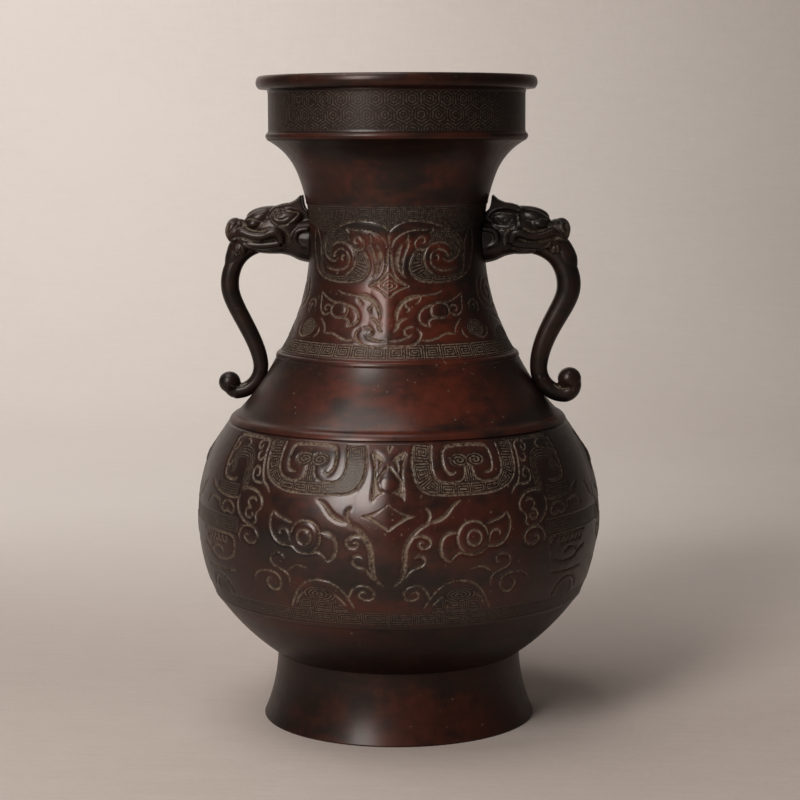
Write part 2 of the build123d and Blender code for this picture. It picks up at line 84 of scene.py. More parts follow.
class Value:
    """A number that a shader socket carries; arithmetic on it adds Math nodes."""

    def __init__(self, graph: "Graph", socket: bpy.types.NodeSocket) -> None:
        """Wraps one output socket of a graph."""
        self.graph = graph
        self.socket = socket

    def _math(self, operation: str, first: object, second: object) -> "Value":
        """Adds one Math node of an operation on two values."""
        return self.graph.node("ShaderNodeMath", {"operation": operation}, {0: first, 1: second})

    def __add__(self, other: object) -> "Value":
        """Sum."""
        return self._math("ADD", self, other)

    __radd__ = __add__

    def __sub__(self, other: object) -> "Value":
        """Difference."""
        return self._math("SUBTRACT", self, other)

    def __rsub__(self, other: object) -> "Value":
        """Difference with the value on the right."""
        return self._math("SUBTRACT", other, self)

    def __mul__(self, other: object) -> "Value":
        """Product."""
        return self._math("MULTIPLY", self, other)

    __rmul__ = __mul__

    def __truediv__(self, other: object) -> "Value":
        """Quotient."""
        return self._math("DIVIDE", self, other)

    def __rtruediv__(self, other: object) -> "Value":
        """Quotient with the value on the right."""
        return self._math("DIVIDE", other, self)

    def __abs__(self) -> "Value":
        """Size without its sign."""
        return self._math("ABSOLUTE", self, 0.0)

    def root(self) -> "Value":
        """Square root."""
        return self._math("SQRT", self, 0.0)

    def fraction(self) -> "Value":
        """Part after the point."""
        return self._math("FRACT", self, 0.0)

    def larger(self, other: object) -> "Value":
        """The larger of two values."""
        return self._math("MAXIMUM", self, other)

    def between(self, low: float, high: float) -> "Value":
        """Smooth rise from 0 at low to 1 at high."""
        settings = {"interpolation_type": "SMOOTHSTEP", "clamp": True}
        return self.graph.node("ShaderNodeMapRange", settings, {0: self, 1: low, 2: high})

    def band(self, rise: Point, fall: Point) -> "Value":
        """1 between two soft edges, each given by where it starts and ends."""
        return self.between(*rise) * (1 - self.between(*fall))

    def capped(self) -> "Value":
        """The value held between 0 and 1."""
        return self.graph.node("ShaderNodeClamp", {}, {0: self})


class Graph:
    """Node tree of one material."""

    def __init__(self, name: str) -> None:
        """Starts an empty material.

        Args:
            name: name of the material.
        """
        self.material = bpy.data.materials.new(name)
        self.material.use_nodes = True
        self.tree = self.material.node_tree
        self.tree.nodes.clear()

    def node(
        self,
        kind: str,
        settings: dict,
        inputs: dict,
        output: Union[int, str] = 0,
    ) -> Optional[Value]:
        """Adds a node.

        Args:
            kind: Blender's node type.
            settings: properties of the node, set before its sockets.
            inputs: values, colours or links by socket index or name.
            output: socket that is handed back.

        Returns:
            The chosen output as a Value, or None where the node has no output.
        """
        made = self.tree.nodes.new(kind)
        for key, value in settings.items():
            setattr(made, key, value)
        for key, value in inputs.items():
            if isinstance(value, Value):
                self.tree.links.new(value.socket, made.inputs[key])
            else:
                made.inputs[key].default_value = value
        return Value(self, made.outputs[output]) if made.outputs else None

    def place(self) -> Value:
        """Object coordinates."""
        return self.node("ShaderNodeTexCoord", {}, {}, "Object")

    def parts(self, vector: Value, axes: str) -> list[Value]:
        """Numbers of a vector along the named axes."""
        return [self.node("ShaderNodeSeparateXYZ", {}, {0: vector}, axis) for axis in axes]

    def noise(self, scale: float, detail: float = 4.0, stretch: Optional[tuple] = None) -> Value:
        """Noise on Object coordinates.

        Args:
            scale: cycles per metre.
            detail: number of finer layers.
            stretch: how much finer it is along each axis.

        Returns:
            Noise between 0 and 1.
        """
        place = self.place()
        if stretch:
            place = self.node("ShaderNodeMapping", {}, {"Vector": place, "Scale": stretch})
        inputs = {"Vector": place, "Scale": scale, "Detail": detail}
        return self.node("ShaderNodeTexNoise", {}, inputs)

    def mix(self, first: object, second: object, share: object) -> Value:
        """Colour between two colours.

        Args:
            first: colour where the share is 0.
            second: colour where it is 1.
            share: share of the second.

        Returns:
            The mixed colour.
        """
        colours = [c if isinstance(c, Value) else (*c, 1.0) for c in (first, second)]
        inputs = {0: share, 6: colours[0], 7: colours[1]}
        return self.node("ShaderNodeMix", {"data_type": "RGBA"}, inputs, 2)

    def attribute(self, name: str) -> Value:
        """Number stored on the mesh under a name."""
        return self.node("ShaderNodeAttribute", {"attribute_name": name}, {}, "Fac")

    def finish(self, inputs: dict) -> bpy.types.Material:
        """Adds the surface shader with its inputs and the output.

        Args:
            inputs: values, colours or links by the shader's socket.

        Returns:
            The finished material.
        """
        surface = self.node("ShaderNodeBsdfPrincipled", {}, inputs)
        self.node("ShaderNodeOutputMaterial", {}, {"Surface": surface})
        return self.material


# Soft edges of the zones that wear, shine and painted shade follow: start and end of each, as heights in
# metres. Painted shade darkens the bowl, the top of the flare and two bands of the shoulder; the flare's
# edge also darkens the collar and lip above it
FOOT_EDGE = (0.026, 0.042)
BOWL_EDGE = (0.058, 0.085)
BAND_EDGE = (0.164, 0.170)
FLARE_EDGE = (0.304, 0.322)
LIP_EDGE = (0.350, 0.353)
BEAD_ZONE = ((0.1688, 0.1698), (0.1728, 0.1745))
LOWER_SHOULDER_SHADE = ((0.1730, 0.1745), (0.176, 0.184))
UPPER_SHOULDER_SHADE = ((0.189, 0.202), (0.206, 0.208))
RIDGE_ZONE = ((0.2040, 0.2048), (0.2074, 0.2086))
MOULDING_ZONE = ((0.3244, 0.3256), (0.3284, 0.3296))


@dataclass(frozen=True)
class BronzeFinish:
    """Patina over bronze: dark ground, warm patches of wear and pale dust in the cuts. The warm patches
    also carry painted shade: they fade on the sides, partly as less wear, and on the bowl, the top of the
    flare and two bands of the shoulder.

    side_dark is how strongly the finish darkens the sides (painted shade, partly less wear), the bowl, the
    top of the flare and two bands of the shoulder (painted shade), keeps the inside dark, dull and rough,
    and rubs the proud rims warm; 0 is the same all over.
    """

    name: str
    dark: Colour
    warm: Colour
    warm_share: float
    dust: Colour
    dust_share: float
    roughness: float
    metallic: float
    coat: float
    shine: float
    tint: Colour
    side_dark: float
    coat_roughness: float = 0.25
    lit_side: float = 0.008

    def material(self) -> bpy.types.Material:
        """Builds the finish as a procedural material.

        Returns:
            The new material.
        """
        graph = Graph(self.name)
        patches = graph.noise(11.0, stretch=(1.0, 1.0, 2.4))
        streaks = graph.noise(45.0, stretch=(1.0, 1.0, 3.0))
        mottle = graph.noise(170.0, detail=5.0)
        specks = graph.noise(650.0)
        grain = graph.noise(2600.0, detail=3.0)
        flecks = graph.noise(360.0, detail=2.0)
        shade = graph.attribute("shade")
        fine = graph.attribute("fine")
        from_line = abs(graph.attribute("winding").fraction() - 0.5)
        fret = (1 - from_line.between(0.13, 0.31)) * fine
        cut = graph.attribute("dust").larger(fret * 0.85)
        x, y, z = graph.parts(graph.place(), "XYZ")
        radius = (x * x + y * y + 1e-9).root()
        normal_x, normal_y = graph.parts(graph.node("ShaderNodeNewGeometry", {}, {}, "Normal"), "XY")
        outward = (x * normal_x + y * normal_y) / radius
        inside = (1 - outward.between(-0.5, -0.05)) * self.side_dark
        # Painted shade, partly less wear: away from the lit front, towards the sides, the warm patina, the
        # dust on it and the coat fade.
        aside = abs(x - self.lit_side) / radius
        facing = 1 - (aside + (streaks - 0.5) * 0.5).between(0.38, 0.85)
        # Painted shade under the bowl, and painted shadow at the top of the flare under the moulding; above
        # the flare this also gives the collar and lip their darker brown. The foot keeps about a third of
        # the warmth, and the belly a little less than the shoulder.
        walls = z.between(*BOWL_EDGE) * (1 - z.between(*FLARE_EDGE) * 0.75)
        zone = walls * (z.between(*BAND_EDGE) * 0.14 + 0.86) + (1 - z.between(*FOOT_EDGE)) * 0.34
        lit_and_handled = 1 - (1 - facing * zone) * self.side_dark
        # The warm share starts as patches of wear; the lines below multiply painted shade into it, so it
        # carries both.
        wear_and_shade = (patches * 0.56 + streaks * 0.3 + mottle * 0.14).between(0.40, 0.60)
        wear_and_shade = wear_and_shade * (1 - shade * 0.8) * lit_and_handled
        # Painted shade: two darker bands of the shoulder, under the ridge and over the bead, with streaks
        # of warmth left in them.
        painted_shade_bands = z.band(*UPPER_SHOULDER_SHADE) + z.band(*LOWER_SHOULDER_SHADE)
        wear_and_shade = wear_and_shade * (1 - painted_shade_bands * (1 - streaks.between(0.45, 0.7)) * 0.75 * self.side_dark)
        proud = z.band(*BEAD_ZONE) + z.band(*RIDGE_ZONE) + z.band(*MOULDING_ZONE)
        rubbed = proud * streaks.between(0.3, 0.6) * self.side_dark
        wear_and_shade = wear_and_shade.larger(rubbed * (lit_and_handled * 0.6 + 0.35)) * (1 - inside)
        warmth = (wear_and_shade * self.warm_share * (mottle * 0.8 + 0.6)).capped()
        ground = graph.mix(self.dark, self.warm, warmth)
        settled = (patches * 0.35 + specks * 0.65).between(0.34, 0.64) * (lit_and_handled * 0.5 + 0.5)
        fleck = flecks.between(0.69, 0.75) * patches.between(0.42, 0.58)
        dusty = (cut * settled * self.dust_share + fleck * 0.45).capped()
        rough = self.roughness + (mottle - 0.5) * 0.2 + dusty * 0.4 + fine * 0.16 - wear_and_shade * 0.04
        rough = rough + (1 - lit_and_handled) * 0.1 + inside * 0.25 - z.between(*LIP_EDGE) * self.side_dark * 0.12
        polish = (1 - dusty) * (1 - inside) * (1 - fine * 0.7) * (lit_and_handled * 0.7 + 0.3)
        polish = polish * (shade * 1.1 + 0.5).capped()
        height = grain * 0.2 + mottle * 0.5 - fret * 1.4
        bump = graph.node("ShaderNodeBump", {}, {"Strength": 0.2, "Distance": 0.0005, "Height": height})
        return graph.finish({
            "Base Color": graph.mix(ground, self.dust, dusty),
            "Metallic": self.metallic * (1 - dusty),
            "Roughness": rough,
            "Specular IOR Level": self.shine,
            "Specular Tint": (*self.tint, 1.0),
            "Coat Weight": polish * self.coat,
            "Coat Roughness": self.coat_roughness,
            "Normal": bump,
        })


@dataclass(frozen=True)
class PaperFinish:
    """Warm pale paper of the floor and backdrop, with painted shade: darker in front and towards the right.
    """

    name: str
    lit: Colour
    shaded: Colour

    def material(self) -> bpy.types.Material:
        """Builds the paper with its slow change of tone.

        Returns:
            The new material.
        """
        graph = Graph(self.name)
        across, depth = graph.parts(graph.place(), "XY")
        cloud = graph.noise(2.2)
        fibre = graph.noise(55.0, detail=5.0)
        warp = graph.noise(300.0, detail=2.0, stretch=(1.0, 1.0, 0.05))
        weft = graph.noise(300.0, detail=2.0, stretch=(0.05, 1.0, 1.0))
        wall = depth.between(0.0, 0.7)
        # Painted shade: darker on the floor in front and towards the right of the backdrop; the cloud,
        # fibre and weave below are the paper's own mottle.
        tone = across.between(-0.5, 0.8) * (wall * 0.45 + 0.06) + (1 - wall) * 0.78
        tone = tone + (cloud - 0.5) * 0.26 + (fibre - 0.5) * 0.08 + (warp + weft - 1) * 0.11
        colour = graph.mix(self.lit, self.shaded, tone.capped())
        return graph.finish({"Base Color": colour, "Roughness": 0.95})


# Modelling moves


def clear_selection() -> None:
    """Leaves nothing selected, so that an operator acts on the new piece alone."""
    if bpy.context.object and bpy.context.object.mode != "OBJECT":
        bpy.ops.object.mode_set(mode="OBJECT")
    bpy.ops.object.select_all(action="DESELECT")


def only(piece: bpy.types.Object) -> None:
    """Selects one piece and makes it active.

    Args:
        piece: the piece.
    """
    clear_selection()
    piece.select_set(True)
    bpy.context.view_layer.objects.active = piece


def apply_modifier(piece: bpy.types.Object, kind: str, **settings: object) -> None:
    """Adds a modifier with its settings and applies it.

    Args:
        piece: piece that it changes.
        kind: Blender's modifier type.
        settings: properties of the modifier.
    """
    only(piece)
    bpy.ops.object.modifier_add(type=kind)
    modifier = piece.modifiers[-1]
    for key, value in settings.items():
        setattr(modifier, key, value)
    bpy.ops.object.modifier_apply(modifier=modifier.name)


def close_mesh(piece: bpy.types.Object, fill: bool = False) -> None:
    """Welds doubled vertices, closes open ends if asked, and turns the faces outwards.

    Args:
        piece: piece to close.
        fill: whether open ends are filled.
    """
    only(piece)
    bpy.ops.object.mode_set(mode="EDIT")
    bpy.ops.mesh.select_all(action="SELECT")
    bpy.ops.mesh.remove_doubles(threshold=WELD)
    if fill:
        bpy.ops.mesh.select_all(action="SELECT")
        bpy.ops.mesh.fill_holes(sides=0)
    bpy.ops.mesh.select_all(action="SELECT")
    bpy.ops.mesh.normals_make_consistent(inside=False)
    bpy.ops.object.mode_set(mode="OBJECT")


def smooth_by_angle(piece: bpy.types.Object, degrees: float) -> None:
    """Smooth shading, with edges sharper than an angle kept crisp."""
    only(piece)
    bpy.ops.object.shade_smooth_by_angle(angle=math.radians(degrees))


def lathe(name: str, profile: Sequence[Point], steps: int = 288) -> bpy.types.Object:
    """Turns a closed profile round the vase's axis.

    Args:
        name: name of the piece.
        profile: corners as radius and height in millimetres.
        steps: facets round the axis.

    Returns:
        The turned piece.
    """
    clear_selection()
    bpy.ops.mesh.primitive_plane_add(size=MM)
    piece = bpy.context.object
    piece.name = name
    bpy.ops.object.mode_set(mode="EDIT")
    bpy.ops.mesh.merge(type="CENTER")
    bpy.ops.transform.translate(value=(profile[0][0] * MM, 0, profile[0][1] * MM))
    for (r_from, z_from), (r_to, z_to) in zip(profile, (*profile[1:], profile[0])):
        step = ((r_to - r_from) * MM, 0, (z_to - z_from) * MM)
        bpy.ops.mesh.extrude_vertices_move(TRANSFORM_OT_translate={"value": step})
    bpy.ops.mesh.select_all(action="SELECT")
    bpy.ops.mesh.remove_doubles(threshold=WELD)
    bpy.ops.mesh.select_all(action="SELECT")
    bpy.ops.mesh.spin(steps=steps, angle=math.tau, center=(0, 0, 0), axis=(0, 0, 1))
    bpy.ops.object.mode_set(mode="OBJECT")
    close_mesh(piece)
    smooth_by_angle(piece, 40)
    return piece


def flowing(points: Sequence[Point], per_span: int = 6) -> np.ndarray:
    """Smooth line through given points.

    Args:
        points: points that the line passes through.
        per_span: short pieces between two points.

    Returns:
        Array of points along the line.
    """
    p = np.array(points, float)
    if len(p) < 3:
        return p
    ends = np.vstack([2 * p[0] - p[1], p, 2 * p[-1] - p[-2]])
    t = np.linspace(0, 1, per_span, endpoint=False)[:, None]
    spans = []
    for a, b, c, d in zip(ends, ends[1:], ends[2:], ends[3:]):
        square = 2 * a - 5 * b + 4 * c - d
        cube = 3 * b - a - 3 * c + d
        spans.append(b + 0.5 * ((c - a) * t + square * t**2 + cube * t**3))
    return np.vstack([*spans, p[-1:]])


def reach_to(line: np.ndarray, x: np.ndarray, z: np.ndarray) -> tuple[np.ndarray, np.ndarray, float]:
    """Distance from points to a line.

    Args:
        line: points along the line.
        x: first coordinates of the points.
        z: second coordinates.

    Returns:
        Distance of each point, how far along the line its foot lies, and the line's length.
    """
    best = np.full(x.shape, np.inf)
    along = np.zeros(x.shape)
    run = 0.0
    for (ax, az), (bx, bz) in zip(line, line[1:]):
        dx, dz = bx - ax, bz - az
        length = math.hypot(dx, dz)
        if length < 1e-9:
            continue
        t = np.clip(((x - ax) * dx + (z - az) * dz) / length**2, 0, 1)
        gap = (x - ax - t * dx) ** 2 + (z - az - t * dz) ** 2
        nearer = gap < best
        best = np.where(nearer, gap, best)
        along = np.where(nearer, run + t * length, along)
        run += length
    return np.sqrt(best), along, run


def eased(value: np.ndarray) -> np.ndarray:
    """Smooth step of a share held between 0 and 1."""
    v = np.clip(value, 0, 1)
    return v * v * (3 - 2 * v)


def beyond(z: np.ndarray, low: float, high: float, soft: float) -> np.ndarray:
    """1 below one height and above another, with soft edges, and 0 between them."""
    return np.clip(eased((z - high) / soft) + eased((low - z) / soft), 0, 1)


# Outline of the vase


@dataclass(frozen=True)
class Bow:
    """Circular stretch of the outline; side is 1 where it swells and -1 where it is hollow."""

    centre_r: float
    centre_z: float
    radius: float
    side: int

    @classmethod
    def between(cls, low: Point, high: Point, swell: float) -> "Bow":
        """Bow through two ends that departs from the straight line by swell at its middle.

        Args:
            low: radius and height of the lower end.
            high: radius and height of the upper end.
            swell: how far it swells, or is hollow where negative.

        Returns:
            The bow.
        """
        half = math.dist(low, high) / 2
        radius = (half**2 + swell**2) / (2 * abs(swell))
        side = 1 if swell > 0 else -1
        out = ((high[1] - low[1]) / (2 * half), (low[0] - high[0]) / (2 * half))
        back = side * (radius - abs(swell))
        mid = ((low[0] + high[0]) / 2, (low[1] + high[1]) / 2)
        return cls(mid[0] - out[0] * back, mid[1] - out[1] * back, radius, side)

    def at(self, z: np.ndarray) -> np.ndarray:
        """Radius of the outline at heights."""
        rise = np.asarray(z, float) - self.centre_z
        return self.centre_r + self.side * np.sqrt(self.radius**2 - rise**2)

    def grown(self, depth: float) -> "Bow":
        """The same bow moved outwards along its normals."""
        return Bow(self.centre_r, self.centre_z, self.radius + self.side * depth, self.side)

    def points(self, z_from: float, z_to: float, count: int) -> list[Point]:
        """Points from one height to another."""
        return [(float(self.at(z)), float(z)) for z in np.linspace(z_from, z_to, count)]


WALL = 3.5
# Heights of the zones
FOOT_TOP = 38.5
BOWL_TOP = 70.5
BAND_TOP = 169.5
BEAD_TOP = 173.5
BODY_TOP = 204.5
RIDGE_TOP = 208.0
WAIST_LOW = 266.0
WAIST_HIGH = 274.0
RELIEF_TOP = 291.0
FLARE_LOW = 306.0
NECK_TOP = 325.0
MOULDING_TOP = 329.1
SPIGOT_TOP = 331.0
HEXAGON_TOP = 352.5
MOUTH_TOP = 360.0
# Radii where they meet
BEAD_RADIUS = 90.33
SHOULDER_RADIUS = 68.1
RIDGE_RADIUS = 66.1
WAIST_RADIUS = 49.0
FLARE_RADIUS = 55.1
COLLAR_RADIUS = 71.6
BORE_RADIUS = 68.1
# Outlines of the zones
BELLY = Bow(centre_r=16.7, centre_z=113.3, radius=96.0, side=1)
BOWL = Bow.between((69.5, FOOT_TOP), (101.73, BOWL_TOP), swell=2.0)
SHOULDER = Bow.between((BEAD_RADIUS, BEAD_TOP), (SHOULDER_RADIUS, BODY_TOP), swell=-1.5)
NECK_LOWER = Bow.between((RIDGE_RADIUS, RIDGE_TOP), (WAIST_RADIUS, WAIST_LOW), swell=-4.1)
NECK_UPPER = Bow.between((WAIST_RADIUS, WAIST_HIGH), (FLARE_RADIUS, FLARE_LOW), swell=-1.5)
FLARE = Bow.between((FLARE_RADIUS, FLARE_LOW), (72.1, NECK_TOP), swell=-2.4)
# How far the ground of fine lines is sunk, and the even number of cells added along a row of spirals,
# so that they are counted from above zero
FRET_GROUND = 0.25
FRET_SHIFT = 400


def neck_radius(z: np.ndarray, inset: float = 0.0) -> np.ndarray:
    """Radius of the neck between its ridge and its flare, moved in by a wall.

    Args:
        z: heights.
        inset: thickness of the wall.

    Returns:
        Radius at each height.
    """
    z = np.asarray(z, float)
    low = NECK_LOWER.grown(-inset).at(np.clip(z, RIDGE_TOP, WAIST_LOW))
    high = NECK_UPPER.grown(-inset).at(np.clip(z, WAIST_HIGH, FLARE_LOW))
    return np.where(z < WAIST_LOW, low, np.where(z > WAIST_HIGH, high, WAIST_RADIUS - inset))


# Relief


def flipped(points: Sequence[Point], side: int) -> list[Point]:
    """Points on the right half of a mask, where side is 1, or their mirror images, where it is -1."""
    return [(side * x, z) for x, z in points]


@dataclass(frozen=True)
class Cut:
    """Groove of the relief through given points, thinning out over fade at its ends."""

    points: Sequence[Point]
    width: float = 1.3
    depth: float = 0.8
    fade: float = 4.0

    def mirrored(self, about: float = 0.0) -> "Cut":
        """The same groove on the other side of an upright line."""
        return Cut([(2 * about - x, z) for x, z in self.points], self.width, self.depth, self.fade)


class Relief:
    """Height and dust over an unrolled piece of wall, on a grid."""

    def __init__(self, x: np.ndarray, z: np.ndarray) -> None:
        """Starts flat.

        Args:
            x: positions of the columns along the wall.
            z: heights of the rows.
        """
        self.x = x
        self.z = z
        self.swell = np.zeros((len(z), len(x)))
        self.groove = np.zeros_like(self.swell)
        self.dust = np.zeros_like(self.swell)
        self.fine = np.zeros_like(self.swell)
        self.winding = np.zeros_like(self.swell)
        self.sooty = np.zeros_like(self.swell)
        self.grid_x, self.grid_z = np.meshgrid(x, z)

    def window(self, line: np.ndarray, reach: float) -> tuple[slice, slice]:
        """Rows and columns that lie within reach of a line.

        Args:
            line: points along the line.
            reach: distance from it.

        Returns:
            Slices of the rows and of the columns.
        """
        low, high = line.min(0) - reach, line.max(0) + reach
        cols = np.searchsorted(self.x, [low[0], high[0]])
        rows = np.searchsorted(self.z, [low[1], high[1]])
        return slice(*rows), slice(*cols)

    def sink(self, place: object, groove: np.ndarray, dust: np.ndarray) -> None:
        """Deepens part of the relief and lays dust there, where that is more than before."""
        self.groove[place] = np.maximum(self.groove[place], groove)
        self.dust[place] = np.maximum(self.dust[place], dust)

    def carve(self, cut: Cut) -> None:
        """Carves one groove, with softly rolled edges.

        Args:
            cut: the groove.
        """
        line = flowing(cut.points)
        roll = 1.7
        place = self.window(line, cut.width + roll)
        x, z = self.grid_x[place], self.grid_z[place]
        if not x.size:
            return
        gap, along, length = reach_to(line, x, z)
        thin = np.clip(np.minimum(along, length - along) / max(cut.fade, 1e-6), 0, 1)
        half = cut.width / 2 * (0.25 + 0.75 * np.sqrt(thin))
        strength = 0.3 + 0.7 * np.sqrt(thin)
        core = eased((half - gap) / half * 1.15)
        rolled = 0.22 * eased(1 - (gap - half) / roll)
        depth = cut.depth * strength * np.maximum(core, rolled)
        dust = strength * eased((half * 1.2 - gap) / (half * 0.5))
        self.sink(place, depth, dust)

    def carve_all(self, cuts: Sequence[Cut]) -> None:
        """Carves grooves and their mirror images.

        Args:
            cuts: grooves of the right half.
        """
        for cut in cuts:
            self.carve(cut)
            self.carve(cut.mirrored())

    def inside(self, outline: Sequence[Point], flow: bool = True) -> np.ndarray:
        """Mask of the points inside a closed outline.

        Args:
            outline: corners of the outline.
            flow: whether it runs smoothly through them or straight.

        Returns:
            True where a point lies inside.
        """
        line = flowing([*outline, outline[0]]) if flow else np.array([*outline, outline[0]], float)
        within = np.zeros(self.swell.shape, bool)
        for (ax, az), (bx, bz) in zip(line, line[1:]):
            if az == bz:
                continue
            spans = (self.grid_z < max(az, bz)) & (self.grid_z >= min(az, bz))
            within ^= spans & (self.grid_x < ax + (self.grid_z - az) / (bz - az) * (bx - ax))
        return within

    def dome(self, centre: Point, radii: Point, height: float) -> None:
        """Raises a rounded boss."""
        off = ((self.grid_x - centre[0]) / radii[0]) ** 2 + ((self.grid_z - centre[1]) / radii[1]) ** 2
        self.swell += height * np.sqrt(np.clip(1 - off, 0, 1))

    def keel(self, half_width: float, height: float, low: float, high: float) -> None:
        """Raises a blunt ridge down the middle of the mask between two heights.

        Args:
            half_width: distance from the crest to the foot of the ridge.
            height: height of the ridge without its blunting.
            low: height where it starts.
            high: height where it ends.
        """
        blunting = 5.0
        run_out = 14
        roof = np.clip(1 - np.sqrt(self.grid_x**2 + blunting) / half_width, 0, 1)
        ends = eased((self.grid_z - low) / run_out) * eased((high - self.grid_z) / run_out)
        self.swell += height * roof * ends

    def rings(
        self, depth_in: np.ndarray, turn: np.ndarray, mask: np.ndarray, pitch: float, bold: float = 1.0
    ) -> None:
        """Sinks the ground of a fret and stores how its lines run, one pitch apart.

        Args:
            depth_in: distance in from the edge of each cell.
            turn: share of a turn round the cell, which winds the lines to a spiral.
            mask: where the fret lies.
            pitch: distance between lines.
            bold: how much dust the lines hold.
        """
        grown = mask.copy()
        for axis in (0, 1):
            grown |= np.roll(grown, 1, axis) | np.roll(grown, -1, axis)
        self.winding[grown] = (depth_in / pitch + turn)[grown]
        self.fine[mask] = bold
        count = int(mask.sum())
        self.sink(mask, np.full(count, FRET_GROUND), np.zeros(count))

    def field(self, outline: Sequence[Point], hole: Sequence[Point] = (), depth: float = 0.7) -> None:
        """Sinks a dusty area on both halves of the mask.

        Args:
            outline: corners of the area on the right half.
            hole: corners of a part of it that stays proud.
            depth: how far it is sunk.
        """
        for side in (1, -1):
            edge = flipped(outline, side)
            mask = self.inside(edge, False)
            gap = reach_to(np.array([*edge, edge[0]], float), self.grid_x, self.grid_z)[0]
            if hole:
                rim = flipped(hole, side)
                mask &= ~self.inside(rim, False)
                to_rim = reach_to(np.array([*rim, rim[0]], float), self.grid_x, self.grid_z)[0]
                gap = np.minimum(gap, to_rim)
            self.sink(mask, (depth * eased(gap / 0.7))[mask], eased(0.3 + gap / 0.4)[mask])

    def fret(
        self,
        along: np.ndarray,
        low: np.ndarray,
        high: np.ndarray,
        cell: float,
        mask: np.ndarray,
        pitch: float,
        bold: float = 1.0,
    ) -> None:
        """Carves a row of squared spirals, each second one turned the other way.

        Args:
            along: distance along the row.
            low: distance in from the row's lower edge.
            high: distance in from its upper edge.
            cell: length of one spiral.
            mask: where the row lies.
            pitch: distance between lines.
            bold: how much dust the lines hold.
        """
        number = np.floor(along / cell)
        off = along - (number + 0.5) * cell
        off = np.where(np.mod(number, 2) == 0, off, -off)
        gaps = np.stack([cell / 2 - off, high, cell / 2 + off, low])
        self.rings(gaps.min(0), np.argmin(gaps, 0) / 4, mask, pitch, bold)

    def strip(
        self,
        low: float,
        high: float,
        cell: float,
        pitch: float,
        bold: float,
        mask: Optional[np.ndarray] = None,
    ) -> None:
        """Carves a level row of squared spirals between two heights.

        Args:
            low: lower height.
            high: upper height.
            cell: length of one spiral.
            pitch: distance between lines.
            bold: how much dust the lines hold.
            mask: where the row may lie, if not everywhere.
        """
        under, over = self.grid_z - low, high - self.grid_z
        level = (under > 0) & (over > 0)
        if mask is not None:
            level &= mask
        self.fret(self.grid_x + FRET_SHIFT * cell, under, over, cell, level, pitch, bold)

    def ovals(
        self,
        x: np.ndarray,
        centre: Point,
        radii: Point,
        span: float,
        pitch: float,
        bold: float = 1.0,
        spiral: bool = False,
        within: Optional[np.ndarray] = None,
    ) -> None:
        """Lays nested ovals of fine lines, or one that winds inwards.

        Args:
            x: distance of each point across the mask.
            centre: middle of the ovals.
            radii: half their width and half their height.
            span: distance from the rim to the middle, as the lines count it.
            pitch: distance between lines.
            bold: how much dust the lines hold.
            spiral: whether the lines wind inwards.
            within: where they may lie, if not everywhere.
        """
        across, up = x - centre[0], self.grid_z - centre[1]
        off = np.hypot(across / radii[0], up / radii[1])
        turn = np.arctan2(up, across) / math.tau if spiral else np.zeros_like(x)
        mask = off < 1 if within is None else (off < 1) & within
        self.rings((1 - off) * span, turn, mask, pitch, bold)

    def height(self) -> np.ndarray:
        """Height of the relief over the plain wall."""
        return self.swell - self.groove

    def shade(self) -> np.ndarray:
        """Share of fine, dark fret round each point, which wear hasn't reached.

        Returns:
            Share at each point.
        """
        soft = np.maximum(self.fine > 0, self.sooty)
        reach = 4
        for axis in (0, 1):
            soft = sum(np.roll(soft, shift, axis) for shift in range(-reach, reach + 1)) / (2 * reach + 1)
        return soft


def wall_piece(
    name: str,
    outer: np.ndarray,
    inner: np.ndarray,
    marks: dict[str, np.ndarray],
    ring: bool = False,
) -> bpy.types.Object:
    """Piece of wall with a fine outer face and a plain inner one.

    Args:
        name: name of the piece.
        outer: points of the outer face by row and column, lowest row first.
        inner: points of the inner face, highest row first.
        marks: numbers over the outer face, stored on the mesh for its finish.
        ring: whether the last column meets the first.

    Returns:
        The closed piece.
    """
    points = np.concatenate([outer, inner, outer[:1]])
    rows, cols = points.shape[:2]
    clear_selection()
    bpy.ops.mesh.primitive_grid_add(x_subdivisions=cols - 1, y_subdivisions=rows - 1, size=1)
    piece = bpy.context.object
    piece.name = name
    mesh = piece.data
    flat = np.empty(len(mesh.vertices) * 3)
    mesh.vertices.foreach_get("co", flat)
    flat = flat.reshape(-1, 3)
    col = np.rint((flat[:, 0] + 0.5) * (cols - 1)).astype(int)
    row = np.rint((flat[:, 1] + 0.5) * (rows - 1)).astype(int)
    mesh.vertices.foreach_set("co", (points[row, col] * MM).ravel())
    for mark, numbers in marks.items():
        whole = np.zeros((rows, cols))
        whole[: len(outer)] = numbers
        whole[-1] = numbers[0]
        mesh.attributes.new(mark, "FLOAT", "POINT").data.foreach_set("value", whole[row, col])
    mesh.update()
    close_mesh(piece, fill=not ring)
    smooth_by_angle(piece, 70)
    return piece


def wrapped(radius: np.ndarray, z: np.ndarray, angles: np.ndarray) -> np.ndarray:
    """Points of a turned surface by row and column.

    Args:
        radius: radius by row, or by row and column.
        z: heights, likewise.
        angles: angle of each column; 0 faces the front, positive to the right.

    Returns:
        The points.
    """
    radius = np.broadcast_to(radius, (len(z), len(angles)))
    level = np.broadcast_to(z[:, None] if z.ndim == 1 else z, radius.shape)
    return np.stack([radius * np.sin(angles), -radius * np.cos(angles), level], -1)


